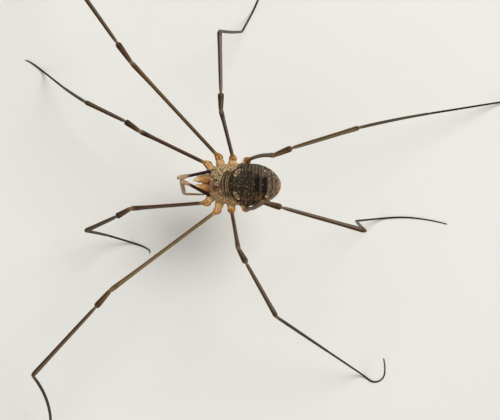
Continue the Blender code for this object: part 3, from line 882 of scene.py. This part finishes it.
def shield_colours(points, masks):
    """Front body: beige on the right, browner on the left, wrinkled, rusty behind the eyes."""
    x, y = points[:, 0], points[:, 1]
    left = smooth(-0.4, 0.9, x)
    fleck = grain(points, 0.12, 6)
    wrinkle = np.abs(grain(points * np.array((1.0, 1.3, 1.0)), 0.20, 7))
    edge = np.maximum(smooth(0.74, 0.98, masks["over"]), 1.0 - smooth(-3.12, -2.80, y))
    front = (1.0 - smooth(-3.05, -2.75, y)) * within(x, -0.9, 0.9, 0.2)
    collar = smooth(-0.06, 0.04, arc_offset(points, SHIELD_ARC)) * within(x, -1.2, 1.2, 0.2)
    lines = []
    for arc, away, width, reach, other, share in SHIELD_ARCS:
        line = near(arc_offset(points, arc), away, width) * within(x, -reach, reach)
        lines.append((other, share * line * (0.75 + 0.8 * fleck)))
    pore = near(np.abs(x) - 1.22 - 0.5 * (y + 2.82), 0.0, 0.06) * near(y, -2.80, 0.14)
    return paint(
        SHIELD_BEIGE,
        (SHIELD_BROWN, 0.8 * left),
        (SHIELD_GREY, 0.75 * smooth(-0.1, 0.3, grain(points, 0.34, 5))),
        (TAN, 0.75 * edge),
        (ORANGE, 0.50 * front),
        (ROSY_CREAM, 0.35 * smooth(0.02, 0.30, grain(points, 0.22, 18))),
        (SHIELD_PALE, (0.90 - 0.25 * left) * smooth(0.08, 0.30, fleck)),
        (SHIELD_DARK, (0.55 + 0.10 * left) * smooth(0.08, 0.30, -fleck)),
        (FLANK_DARK, 0.60 * (1.0 - smooth(0.02, 0.09, wrinkle))),
        (COLLAR_BROWN, 0.94 * collar),
        *spots(points, SHIELD_SPOTS),
        *lines,
        (FLANK_DARK, 0.9 * pore),
    )


def abdomen_colours(points):
    """Rear body: striped flanks, a dark saddle with a straight rear edge, tan behind it."""
    x, y = points[:, 0], points[:, 1]
    left = smooth(-0.3, 0.6, x)
    cloud = grain(points, 0.30, 8)
    fleck = grain(points * np.array((1.0, 1.6, 1.0)), 0.12, 9)
    lumps = smooth(-0.05, 0.18, grain(points * np.array((1.3, 1.0, 1.0)), 0.22, 12))
    wave = np.sin(2 * math.pi * y / STRIPE_SPACING + 3.0 * grain(points, 0.45, 10))
    stripes = smooth(-0.1, 1.3, wave + 2.6 * fleck)
    rear = smooth(1.94, 2.04, y)
    rear_right = smooth(0.1, 1.0, -x) * (1.0 - smooth(2.5, 3.0, y))
    rear_tint = paint(
        REAR_DARK,
        (REAR_TAN, smooth(-0.35, 0.15, fleck)),
        (REAR_PALE, lumps * (0.50 + 0.45 * smooth(-0.4, -0.9, x))),
        (LAVENDER, 0.60 * rear_right * lumps),
        (FLANK_DARK, 0.60 * rear_right * smooth(0.02, 0.25, grain(points, 0.20, 17))),
    )
    rear_arcs = []
    for place, width, share in REAR_ARCS:
        arc = near(y + 0.22 * x**2, place, width) * within(x, -0.72, 0.72)
        rear_arcs.append((REAR_DARK, share * rear * arc))
    edge = np.abs(x) - np.interp(y, *zip(*SADDLE_EDGE)) - 0.12 * grain(points, 0.25, 13)
    saddle = (1.0 - smooth(-0.10, 0.10, edge)) * (1.0 - smooth(1.94, 1.99, y))
    (_, slate_front), (_, slate_middle) = spots(points, SLATE_SPOTS)
    saddle_tint = paint(
        SADDLE_DARK,
        (SADDLE_BROWN, smooth(0.0, 0.5, x) * within(y, -1.4, 0.8)),
        (SLATE, slate_front + slate_middle),
        (SADDLE_BLACK, 0.7 * smooth(-0.05, 0.3, cloud)),
        (SADDLE_SPECK, 0.75 * smooth(0.16, 0.42, fleck)),
    )
    grooves = []
    for groove in TERGITE_GROOVES:
        offset = tergite_offset(points, groove)
        grooves.append((SADDLE_BLACK, 0.55 * near(offset, 0.0, 0.035) * (1.0 - 0.6 * rear)))
        grooves.append((SADDLE_SPECK, 0.30 * near(offset, 0.09, 0.04) * (1.0 - rear)))
    blocks = within(y, 0.80, 1.28, 0.06) + within(y, 1.53, 1.96, 0.05)
    strip = 0.80 * within(y, 1.30, 1.46, 0.05) + 0.40 * near(y, 0.62, 0.08)
    front_groove = near(arc_offset(points, SHIELD_GROOVE), 0.0, 0.055) * within(x, -1.3, 1.3, 0.2)
    oval = oval_distance(points)
    return paint(
        FLANK_BROWN,
        # The left flank is darker with fainter pale stripes: painted shade on the side away from the
        # light, over the flanks' own clouds and stripes.
        (FLANK_DARK, smooth(-0.2, 0.25, cloud) * (0.6 + 0.4 * left)),
        (FLANK_PALE, stripes * (0.80 - 0.45 * left - 0.25 * smooth(-0.5, 0.4, y))),
        (SLATE, 0.35 * smooth(0.1, 0.9, -x) * within(y, -0.5, 1.9, 0.3)),
        (RUST, 0.45 * smooth(0.05, 0.4, grain(points, 0.34, 11)) * left),
        (rear_tint, 0.92 * rear),
        *rear_arcs,
        (SALMON, 0.85 * smooth(2.80, 3.10, y) * (0.6 + 0.4 * lumps)),
        (saddle_tint, 0.96 * saddle),
        *grooves,
        (SADDLE_BLACK, 0.92 * blocks * within(x, -0.64, 0.66)),
        (LILAC_GREY, strip * within(x, -1.0, 0.9, 0.2)),
        (LILAC_GREY, 0.8 * near(y, 2.02, 0.06) * within(x, -0.9, 0.7, 0.15)),
        (SADDLE_BLACK, 0.95 * front_groove),
        (FLANK_DARK, 0.7 * near(oval, 1.6, 0.3)),
        (OVAL_PINK, (0.75 + fleck) * (1.0 - smooth(0.7, 1.1, oval))),
        (SHIELD_PALE, (0.55 + 1.2 * fleck) * near(oval, 1.05, 0.20)),
        *spots(points, PALE_SPOTS),
    )


def under_colours(points, masks):
    """Pale underside, with tan coxae, the hind ones cream at their rims."""
    share = masks["coxa_share"]
    fleck = grain(points, 0.14, 14)
    hind = smooth(-0.6, -0.3, points[:, 1])
    coxa_tint = paint(
        TAN,
        (ORANGE, 0.70 * smooth(-0.2, 0.4, grain(points, 0.28, 15))),
        (ROSY_CREAM, 0.70 * smooth(0.0, 0.30, fleck)),
        (DEEP_ORANGE, 0.5 * smooth(0.1, 0.35, -fleck)),
        (CREAM, (0.25 + 0.75 * hind) * smooth(0.80, 0.92, share)),
        (BELLY, 0.5 * (1.0 - smooth(0.2, 0.6, share))),
    )
    plate = plate_distance(points)
    return paint(
        BELLY,
        (TAN, 0.35 * smooth(0.0, 0.5, fleck)),
        *((FLANK_BROWN, 0.40 * belly_groove(points, y, 0.045)) for y in BELLY_GROOVES),
        (coxa_tint, masks["coxa"]),
        (BELLY, 0.8 * (1.0 - smooth(0.85, 1.0, plate)) * masks["under"]),
        (FLANK_BROWN, 0.6 * near(plate, 1.08, 0.07) * masks["under"]),
    )


def mound_colours(points, tint):
    """Eye turret: greyish pink with dark brows round the eyes."""
    offset = (points - np.array(MOUND_PLACE)) / np.array(MOUND_HALF)
    on_mound = 1.0 - smooth(1.0, 1.3, np.linalg.norm(offset[:, :2], axis=1))
    on_mound *= smooth(0.0, 0.3, offset[:, 2])
    layers = [(OVAL_PINK, 0.8 * on_mound)]
    for sign in SIDES.values():
        gap = np.linalg.norm(points - np.array(EYE_PLACE) * np.array((sign, 1.0, 1.0)), axis=1)
        layers.append((BLOOD_BROWN, 0.9 * (1.0 - smooth(0.20, 0.27, gap))))
        layers.append((SHIELD_PALE, 0.5 * near(gap, 0.30, 0.03) * on_mound))
    return paint(tint, *layers, (BLOOD_BROWN, 0.5 * on_mound * near(points[:, 0], 0.0, 0.05)))


def body_colours(points, masks):
    """Colour of the body's skin at each point."""
    upper = mix(abdomen_colours(points), shield_colours(points, masks), masks["shield"])
    half_up = smooth(-0.55, -0.05, masks["rise"])
    flank_up = np.maximum(half_up * (1.0 - masks["coxa"]), masks["back"])
    return mound_colours(points, mix(under_colours(points, masks), upper, flank_up))


def add_tubercles(shape, tree, draw):
    """Rows of small pale-tipped tubercles across the back, and brighter ones in its middle."""
    for middle, sweep, reach in TUBERCLE_ROWS:
        half_width = float(outline_at(middle)[0])
        count = max(3, round(2 * reach / TUBERCLE_SPACING))
        for index in range(count):
            x = reach * (2 * (index + 0.5) / count - 1) + draw.uniform(-0.06, 0.06)
            y = middle + sweep * (x / half_width) ** 2 + draw.uniform(-0.06, 0.06)
            add_tubercle(shape, tree, x, y, draw.uniform(0.018, 0.032), TUBERCLE_TIP)
    for x, y, radius in BRIGHT_TUBERCLES:
        add_tubercle(shape, tree, x, y, radius, CREAM)
    for _ in range(SHIELD_TUBERCLES):
        y = draw.uniform(-2.9, -1.6)
        x = draw.uniform(-1.35, 1.35)
        if abs(x) > 0.45 or y > -2.2:
            add_tubercle(shape, tree, x, y, draw.uniform(0.014, 0.024), TUBERCLE_TIP)


def add_tubercle(shape, tree, x, y, radius, tip):
    """One tubercle: a low dome drawn out to a blunt tip."""
    place, normal, _, _ = tree.ray_cast(Vector((x, y, 5.0)), -UP)
    if place is None:
        return
    lean = (normal + Vector((0.0, 0.35, 0.0))).normalized()
    rings = []
    tints = []
    for rise, wide in TUBERCLE_PROFILE:
        centre = place + lean * (radius * rise)
        rings.append(round_ring(centre, lean, radius * wide, 8, Vector((0.0, 1.0, 0.0))))
        tints.append([mix(TUBERCLE_FOOT, tip, smooth(0.1, 1.0, rise))] * 8)
    shape.tube(rings, tints)


def make_body():
    """Skin of the whole body with its grooves, markings and tubercles."""
    points, normals, faces = skin_base()
    masks = body_masks(points)
    raised = points + normals * body_relief(points, masks)[:, None]
    shape = Shape()
    shape.add([Vector(point) for point in raised], faces, list(body_colours(points, masks)))
    tree = BVHTree.FromPolygons(shape.points, faces)
    add_tubercles(shape, tree, random.Random(4))
    add_brows(shape)
    lip = [(Vector((0.0, y, z)), direction(0, 0), radius) for y, z, radius in LABRUM]
    shape.sleeve(lip, mix(ORANGE, DEEP_ORANGE, 0.5), 16)
    material = cuticle("body_cuticle", 0.22, (0.42, 0.62), 0.02, 0.09)
    nodes = ["prosoma", "opisthosoma", "ocularium"]
    shape.place("body_skin", material, "prosoma_cuticle", nodes)


def add_brows(shape):
    """Row of blunt teeth over each eye."""
    for sign in SIDES.values():
        for angle in (math.radians(-60 + 30 * index) for index in range(5)):
            foot = MOUND_PLACE + Vector((
                sign * 0.15,
                0.75 * MOUND_HALF.y * math.sin(angle),
                0.93 * MOUND_HALF.z * math.cos(angle) ** 0.5,
            ))
            axis = Vector((sign * 0.35, math.sin(angle), math.cos(angle) + 0.3)).normalized()
            shape.cone(foot - axis * 0.02, axis, 0.035, 0.11, (BROW_FOOT, CREAM), 7)


def make_eyes():
    """Two glossy eyes set in the sides of the turret."""
    material = eye_material()
    levels = [-math.cos(math.pi * row / 16) for row in range(1, 16)]
    for side, sign in SIDES.items():
        shape = Shape()
        centre = Vector((sign * EYE_PLACE.x, EYE_PLACE.y, EYE_PLACE.z))
        rings = ball_rings(centre, EYE_RADIUS * Vector((1.0, 1.0, 1.0)), levels, 24)
        shape.tube(rings, [[NEAR_BLACK] * 24 for _ in rings])
        shape.place(f"eye_ball_{side}", material, "eye", [f"eye_{side}"])


def spine_tube(shape, spine, sign, tints, sides, wide=1.0):
    """Tube on a smooth curve through the places of a spine, tinted from end to end."""
    knots = [Vector((sign * x, y, z)) for x, y, z, _ in spine]
    radii = [radius for *_, radius in spine]
    lengths = [0.0]
    for before, after in zip(knots, knots[1:]):
        lengths.append(lengths[-1] + (after - before).length)
    count = math.ceil(lengths[-1] / SPINE_STEP)
    places = []
    for index in range(count + 1):
        reach = lengths[-1] * index / count
        part = max(i for i in range(len(knots) - 1) if lengths[i] <= reach + 1e-9)
        t = (reach - lengths[part]) / (lengths[part + 1] - lengths[part])
        before = knots[max(part - 1, 0)]
        after = knots[min(part + 2, len(knots) - 1)]
        a, b = knots[part], knots[part + 1]
        place = 0.5 * (
            2 * a + (b - before) * t + (2 * before - 5 * a + 4 * b - after) * t**2
            + (3 * a - before - 3 * b + after) * t**3
        )
        places.append((place, float(np.interp(reach, lengths, radii)), reach / lengths[-1]))
    marks = [share for share, _ in tints]
    bands = np.array([tint for _, tint in tints])
    rings = []
    shades = []
    for index, (place, radius, share) in enumerate(places):
        ahead = (places[min(index + 1, count)][0] - places[max(index - 1, 0)][0]).normalized()
        ring = round_ring(place, ahead, radius, sides, Vector((1.0, 0.0, 0.0)), flat=wide)
        tint = np.array([np.interp(share, marks, band) for band in bands.T])
        rings.append(ring)
        shades.append(list(paint(
            tint,
            (tint * DEEPER, smooth(0.0, 0.5, grain(ring, 0.24, 17))),
            (CREAM * float(tint.max()) / 0.4, 0.4 * smooth(0.1, 0.4, grain(ring, 0.09, 18))),
        )))
    shape.tube(rings, shades)


def make_chelicera(side, material):
    """Chelicera: basal segment, hand with its horn, and the moving finger."""
    sign = SIDES[side]
    shape = Shape()
    spine_tube(shape, CHELICERA_BASE, sign, BASE_TINTS, 32, CHELICERA_WIDTH)
    spine_tube(shape, CHELICERA_HAND, sign, HAND_TINTS, 32)
    spine_tube(shape, MOVING_FINGER, sign, FINGER_TINTS, 16)
    draw = random.Random(20 + sign)
    for _ in range(HAND_BRISTLES):
        height = draw.uniform(-0.5, 0.75)
        turn = draw.uniform(0.0, 2 * math.pi)
        away = Vector((math.cos(turn), -abs(math.sin(turn)), draw.uniform(0.1, 0.6))).normalized()
        reach = float(np.interp(height, HAND_LEVELS, (0.26, 0.29, 0.22, 0.08)))
        forward = float(np.interp(height, HAND_LEVELS, (-4.11, -4.11, -4.20, -4.5)))
        place = Vector((sign * 0.37, forward, height)) + Vector((away.x, away.y, 0.0)) * reach
        shape.cone(place, away, 0.008, draw.uniform(0.05, 0.10), (HORN_BROWN, HORN_BROWN), 4)
    nodes = [f"chelicera_{side}_base", f"chelicera_{side}_hand"]
    shape.place(f"chelicera_{side}", material, "chelicera", nodes)


def segment_stations(start, length, heading, elevation, turn=0.0, step=LIMB_STEP):
    """Places along a segment: centre, along, up and share of its length."""
    count = max(6, math.ceil(length / step))
    place = start.copy()
    stations = []
    for index in range(count + 1):
        share = index / count
        here = heading + turn * share
        along = direction(here, elevation)
        stations.append([place.copy(), along, along.cross(sideways(here)), share])
        middle = heading + turn * (share + 0.5 / count)
        place += direction(middle, elevation) * (length / count)
    return stations


def with_round_ends(stations, radius):
    """Stations with a few close ones at each end."""
    first, last = stations[0], stations[-1]
    length = sum((b[0] - a[0]).length for a, b in zip(stations, stations[1:]))
    shares = [reach * radius / length for reach in (0.02, 0.10, 0.28, 0.6)]
    head = [[first[0] + first[1] * (s * length), first[1], first[2], s] for s in shares]
    tail = [[last[0] - last[1] * (s * length), last[1], last[2], 1 - s] for s in shares[::-1]]
    return head + [s for s in stations if shares[-1] < s[3] < 1 - shares[-1]] + tail


def rounding(station_share, length, radius, blunt=0.55):
    """How full a ring is near the rounded ends of a segment."""
    reach = min(station_share, 1 - station_share) * length
    t = min(reach / (0.6 * radius), 1.0)
    return blunt + (1 - blunt) * math.sqrt(max(1 - (1 - t) ** 2, 0.0))


def make_segment(shape, stations, length, profile, tint_of, ridge):
    """Tube of a limb segment with ridges, tinted by a function of share and angle."""
    middle_radius = along_profile(profile, 0.5)
    angles = np.array(round_angles(LIMB_SIDES))
    rings = []
    tints = []
    for place, along, up, share in with_round_ends(stations, middle_radius):
        radius = along_profile(profile, share) * rounding(share, length, middle_radius)
        rings.append(round_ring(place, along, radius, LIMB_SIDES, up, ridge))
        tints.append(list(tint_of(share, angles)))
    shape.tube(rings, tints)


def segment_tints(base, upper, name, length, lean, draw):
    """Function that gives a segment's tints from the share along it and the angle round it."""
    phase = draw.uniform(0, 9)
    pale_root, strength, dark_place, pale_end = SEGMENT_MARKS[name]

    def tint_of(share, angles):
        place = share * length
        end = length - place
        cloud = math.sin(1.7 * place + phase) * math.sin(0.9 * place + 2 * phase)
        rise = np.sin(angles - lean)
        root = 0.6 * near(place, 0.0, 0.18) if name != "femur" else 0.0
        return paint(
            base * (0.95 + 0.12 * cloud),
            (base * 0.45, 0.85 * within(rise, 0.30, 0.80, 0.15)),
            # Painted glow of light shining through the lower side edges.
            (LEG_EDGE_GLOW, 0.50 * within(rise, -0.45, 0.22, 0.15)),
            # Painted highlight of the upper colour along the top ridge.
            (upper, strength * smooth(0.80, 0.98, rise)),
            # Painted shade underneath.
            (base * 0.5, 0.6 * smooth(0.4, 0.9, -rise)),
            (TAN, pale_root * (1.0 - smooth(0.2, 1.1, place))),
            (base * 0.45, 0.6 * near(end, dark_place, 0.22)),
            (JOINT_PALE, root + pale_end * near(end, 0.06, 0.14)),
        )

    return tint_of


def add_denticles(shape, stations, length, profile, draw):
    """Rows of small dark-tipped teeth on a segment's ridges, leaning to its far end."""
    count = int(length / DENTICLE_SPACING)
    for row in range(RIDGES):
        for index in range(count):
            share = (index + 0.5 + draw.uniform(-0.25, 0.25)) / count
            place, along, up, _ = stations[min(int(share * len(stations)), len(stations) - 1)]
            way = outward(along, up, math.pi / 2 + 2 * math.pi * row / RIDGES)
            foot = place + way * (along_profile(profile, share) - 0.015)
            size = draw.uniform(0.6, 1.2)
            axis = (way + along * 0.7).normalized()
            shape.cone(foot, axis, 0.016 * size, 0.042 * size, (TOOTH_FOOT, NEAR_BLACK))


def add_setae(shape, stations, radius_of, spacing, length, draw, rows=4):
    """Fine bristles that lean to the far end of a limb."""
    gone = 0.0
    for before, after in zip(stations, stations[1:]):
        gone += (after[0] - before[0]).length
        if gone < spacing:
            continue
        gone = 0.0
        place, along, up, share = after
        for row in range(rows):
            way = outward(along, up, 2 * math.pi * (row + draw.uniform(-0.3, 0.3)) / rows)
            axis = (way + along * 1.2).normalized()
            foot = place + way * (radius_of(share) * 0.9)
            if foot.z + axis.z * length < -HIP_HEIGHT + 0.01:
                continue
            reach = length * draw.uniform(0.7, 1.2)
            shape.cone(foot, axis, 0.006, reach, (NEAR_BLACK, NEAR_BLACK), 3)


def add_knuckle(shape, place, along, radius, tint):
    """Round membrane that shows in the gap between two segments."""
    sections = []
    for level in np.linspace(-0.95, 0.95, 9):
        centre = place + along * (radius * float(level))
        sections.append((centre, along, radius * math.sqrt(1 - level**2)))
    shape.sleeve(sections, tint, 14)


def add_joint(shape, previous, stations, radius, tint):
    """Knuckle where a segment goes on from the direction of the one before."""
    place, along = stations[0][:2]
    add_knuckle(shape, place, (previous + along).normalized(), radius, tint)


def add_trochanter(shape, pair, side, draw):
    """Tan barrel with long folds, drawn out from a coxa to its femur."""
    root, _ = coxa_line(pair, side)
    hip = hip_place(pair, side)
    coxal = (hip - root).normalized()
    femoral = direction(*POSES[(pair, side)][0][:2])
    folds = np.array([math.cos(TROCHANTER_FOLDS * angle) for angle in round_angles(TROCHANTER_SIDES)])
    rings = []
    tints = []
    for reach in np.linspace(TROCHANTER_PROFILE[0][0], TROCHANTER_PROFILE[-1][0], 22):
        bend = float(smooth(-0.15, 0.25, reach))
        along = coxal.lerp(femoral, bend).normalized()
        place = hip + (femoral if reach > 0 else coxal) * float(reach)
        radius = along_profile(TROCHANTER_PROFILE, reach)
        ring = round_ring(place, along, radius, TROCHANTER_SIDES)
        folded = []
        for point, fold in zip(ring, folds):
            folded.append(place + (point - place) * (1.0 + 0.11 * float(fold)))
        rings.append(folded)
        cloud = 0.7 * grain(ring, 0.30, 16) + 0.5 * grain(ring, 0.10, 19)
        tints.append(list(paint(
            ORANGE,
            # Painted shade in the fold troughs and painted highlight on the fold crests, over a cloud
            # of own tones.
            (DEEP_ORANGE, 0.65 * smooth(-0.1, 0.4, cloud - 0.40 * folds)),
            (ROSY_CREAM, 0.75 * smooth(0.0, 0.45, 0.40 * folds - cloud)),
            (CREAM, 0.85 * smooth(-0.05, 0.05, COXA_RIMS[pair] - reach)),
            (FLANK_DARK, 0.60 * near(reach, -0.35, 0.03)),
            (HORN_BROWN, 0.55 * near(reach, 0.45, 0.06)),
        )))
    shape.tube(rings, tints)
    top = coxal.cross(UP).normalized().cross(coxal)
    for _ in range(TROCHANTER_TEETH):
        way = outward(coxal, top, draw.uniform(0, 2 * math.pi))
        place = hip + coxal * draw.uniform(-0.12, 0.10) + way * 0.25
        axis = (way + coxal * 0.4).normalized()
        shape.cone(place, axis, 0.014, 0.07, (DEEP_ORANGE, HORN_BROWN))


def tarsus_stations(start, pair, side):
    """Places along a tarsus that comes down straight, bends level and lies on the floor."""
    heading, elevation, bend, runs = TARSI[(pair, side)]
    fall = math.radians(-elevation)
    floor = -HIP_HEIGHT + TARSUS_RADII[1]
    lead = (start.z - floor - bend * (1 - math.cos(fall))) / math.sin(fall)
    bend_length = bend * fall
    length = lead + bend_length + sum(run for run, _ in runs)
    count = math.ceil(length / TARSUS_STEP)
    step = length / count
    place = start.copy()
    stations = []
    gone = 0.0
    for index in range(count + 1):
        here = heading
        begin = lead + bend_length
        for run, turn in runs:
            here += turn * min(max((gone - begin) / run, 0.0), 1.0)
            begin += run
        into_bend = min(max((gone - lead) / bend_length, 0.0), 1.0)
        along = direction(here, elevation * (1 - into_bend))
        stations.append([place.copy(), along, along.cross(sideways(here)), gone / length])
        place += along * step
        gone += step
    return stations, length, (lead + bend_length) / length


def tarsus_radius(share, touch):
    """Half thickness of a tarsus, ever thinner to its tip."""
    return float(np.interp(share, (0.0, touch, 1.0), TARSUS_RADII))


def make_tarsus(shape, pair, side, start, tint, draw):
    """Tarsus of many short links, thinner to its tip, with a claw."""
    stations, length, touch = tarsus_stations(start, pair, side)
    rings = []
    tints = []
    for place, along, up, share in stations:
        radius = tarsus_radius(share, touch)
        if share > touch:
            place.z = -HIP_HEIGHT + radius
        link_size = TARSOMERE * (1.0 - 0.45 * share)
        phase = (share * length / link_size) % 1.0
        waist = float(near(min(phase, 1 - phase), 0.0, 0.07))
        swell = 1.0 + 0.10 * smooth(0.6, 0.93, phase) * (1.0 - waist)
        ring = round_ring(place, along, radius * (swell - 0.22 * waist), 10, up)
        for point in ring:
            point.z = max(point.z, -HIP_HEIGHT)
        rings.append(ring)
        tints.append([paint(
            tint,
            (TARSUS_COLOUR, smooth(-0.05, 0.08, share)),
            (JOINT_PALE * 0.5, 0.5 * waist),
            (NEAR_BLACK, 0.6 * smooth(0.55, 0.9, phase)),
        )] * 10)
    shape.tube(rings, tints)
    add_setae(shape, stations, lambda share: tarsus_radius(share, touch), 0.30, 0.11, draw)
    tip, along, _, _ = stations[-1]
    claw = []
    for reach, rise, radius in ((0.0, 0.0, 0.026), (0.07, 0.025, 0.018), (0.13, 0.005, 0.004)):
        claw.append((tip + along * reach + UP * rise, along, radius))
    shape.sleeve(claw, NEAR_BLACK, 8)


def make_leg(pair, side, material):
    """Leg from its trochanter to its claw, in place of its five nodes."""
    sign = SIDES[side]
    draw = random.Random(100 * pair + sign)
    shape = Shape()
    add_trochanter(shape, pair, side, draw)
    place = hip_place(pair, side)
    # The last colour of each leg is its painted highlight along the upper ridge.
    *bases, upper = [colour(*shade) for shade in LEG_COLOURS[(pair, side)]]
    previous = None
    for index, name in enumerate(SEGMENT_NAMES):
        length = SEGMENT_LENGTHS[pair][index]
        profile = SEGMENT_PROFILES[name]
        stations = segment_stations(place, length, *POSES[(pair, side)][index])
        if name == "femur":
            for station in stations:
                station[0].x += sign * BOW[pair] * math.sin(math.pi * station[3])
        tint_of = segment_tints(bases[index], upper, name, length, sign * STRIPE_LEAN, draw)
        make_segment(shape, stations, length, profile, tint_of, RIDGE_SHARES[name])
        if name != "metatarsus":
            add_denticles(shape, stations, length, profile, draw)
        add_setae(shape, stations, lambda share: along_profile(profile, share), 0.42, 0.09, draw)
        if previous is not None:
            radius = min(along_profile(profile, 0.015) * KNUCKLE_SHARE, WIDEST_KNUCKLE)
            add_joint(shape, previous, stations, radius, JOINT_PALE * 0.8)
        previous = stations[-1][1]
        place = stations[-1][0].copy()
    add_knuckle(shape, place, previous, 0.095, JOINT_PALE * 0.4)
    make_tarsus(shape, pair, side, place, bases[3], draw)
    nodes = [f"leg_{pair}_{side}_{name}" for name in (*SEGMENT_NAMES, "tarsus")]
    shape.place(f"leg_{pair}_{side}", material, "leg_cuticle", nodes)


def palp_tints(index):
    """Function for the tints of a palp's segments: dark femur, paler beyond."""

    def femur_tint(share, angles):
        return paint(
            PALP_DARK,
            (BLOOD_BROWN, 0.5 * smooth(0.2, 0.8, np.cos(angles))),
            (RUST, 0.6 * smooth(0.88, 1.0, share)),
            (ORANGE, 1.0 - smooth(0.0, 0.08, share)),
        )

    def pale_tint(share, angles):
        greyish = PALP_GREYNESS[index] * smooth(-0.1, 0.8, np.sin(angles))
        wave = 0.5 + 0.5 * np.sin(3.0 * angles + 17.0 * share)
        return paint(
            PALP_TAN,
            (PALP_GREY, greyish),
            (PALP_ROSE, 0.5 * wave * greyish),
            (DEEP_ORANGE, 0.4 * smooth(0.2, 0.9, -np.sin(angles))),
            # Painted highlight on the top near the far end of the segment.
            (CREAM, 0.6 * greyish * near(share, 0.80, 0.10)),
            (PALP_ROSE, 0.7 * near(share, 1.0, 0.05)),
        )

    return pale_tint if index else femur_tint


def make_palp(side, material):
    """Pedipalp: root, dark femur, pale patella, tibia and thin tarsus with a claw."""
    sign = SIDES[side]
    draw = random.Random(50 + sign)
    shape = Shape()
    place = Vector((sign * PALP_ROOT.x, PALP_ROOT.y, PALP_ROOT.z))
    first = direction(*PALPS[side][0][1:])
    root = [(place + first * reach, first, radius) for reach, radius in PALP_ROOT_PROFILE]
    shape.sleeve(root, mix(ORANGE, TAN, 0.4))
    previous = None
    for index, (length, heading, elevation) in enumerate(PALPS[side]):
        stations = segment_stations(place, length, heading, elevation, step=0.06)
        profile = PALP_PROFILES[index]
        make_segment(shape, stations, length, profile, palp_tints(index), 0.02)
        add_setae(shape, stations, lambda share: along_profile(profile, share), 0.16, 0.14, draw, 5)
        if previous is not None:
            radius = along_profile(profile, 0.05) * KNUCKLE_SHARE
            add_joint(shape, previous, stations, radius, PALP_ROSE)
        previous = stations[-1][1]
        place = stations[-1][0].copy()
    claw = (previous + Vector((0.0, 0.0, -0.5))).normalized()
    shape.cone(place - previous * 0.03, claw, 0.035, 0.17, (HORN_BROWN, NEAR_BLACK), 8)
    nodes = [f"pedipalp_{side}_{name}" for name in ("femur", "patella", "tibia", "tarsus")]
    shape.place(f"palp_{side}", material, "dark_limb", nodes)


def make_stage():
    """Plain pale floor."""
    corners = [(FLOOR_HALF * x, FLOOR_HALF * y, 0.0) for x, y in ((-1, -1), (1, -1), (1, 1), (-1, 1))]
    mesh = bpy.data.meshes.new("floor")
    mesh.from_pydata(corners, [], [(0, 1, 2, 3)])
    floor = new_object("floor", mesh)
    nodes = Nodes("floor_matte")
    tone = nodes.ramp(nodes.noise(nodes.place(), 0.05, 2.0), *FLOOR_TONES)
    mesh.materials.append(nodes.finish({"Base Color": tone, "Roughness": 0.9}))


def make_light():
    """Soft studio light from above, and pale surroundings."""
    for name, place, size, power in LIGHTS:
        light = bpy.data.lights.new(name, "AREA")
        light.shape = "SQUARE"
        light.size = size
        light.energy = power
        item = new_object(name, light)
        item.location = place
        item.rotation_euler = (-Vector(place)).to_track_quat("-Z", "Y").to_euler()
    world = bpy.data.worlds.new("surroundings")
    world.use_nodes = True
    background = world.node_tree.nodes["Background"]
    background.inputs["Color"].default_value = SURROUNDINGS
    background.inputs["Strength"].default_value = 0.30
    bpy.context.scene.world = world
    bpy.context.scene.view_settings.view_transform = "Standard"


def make_camera():
    """Camera straight above, with the head to the left."""
    camera = bpy.data.cameras.new("camera")
    camera.sensor_width = SENSOR
    camera.lens = SENSOR * (CAMERA_ABOVE_HIPS - PICTURE_LEVEL) / PICTURE_WIDTH
    camera.clip_start = 0.005
    camera.clip_end = 5.0
    item = new_object("camera", camera)
    turn = math.radians(CAMERA_TURN)
    right = Vector((-math.sin(turn), math.cos(turn), 0.0))
    up = Vector((-math.cos(turn), -math.sin(turn), 0.0))
    place = Vector((*CAMERA_PLACE, CAMERA_ABOVE_HIPS))
    axes = Matrix((right, up, right.cross(up))).transposed().to_4x4()
    item.matrix_world = Matrix.Translation(TO_FRAME @ place) @ axes
    bpy.context.scene.camera = item


make_camera()
make_light()
make_stage()
make_body()
make_eyes()
chelicera_material = cuticle("chelicera_cuticle", 0.10, (0.30, 0.46), 0.008, 0.35, 0.25)
limb_material = cuticle("leg_cuticle", 0.16, (0.34, 0.52), 0.008, 0.12)
palp_material = cuticle("palp_cuticle", 0.12, (0.28, 0.44), 0.008, 0.30, 0.12)
for body_side in SIDES:
    make_chelicera(body_side, chelicera_material)
    make_palp(body_side, palp_material)
    for leg_pair in HIPS:
        make_leg(leg_pair, body_side, limb_material)
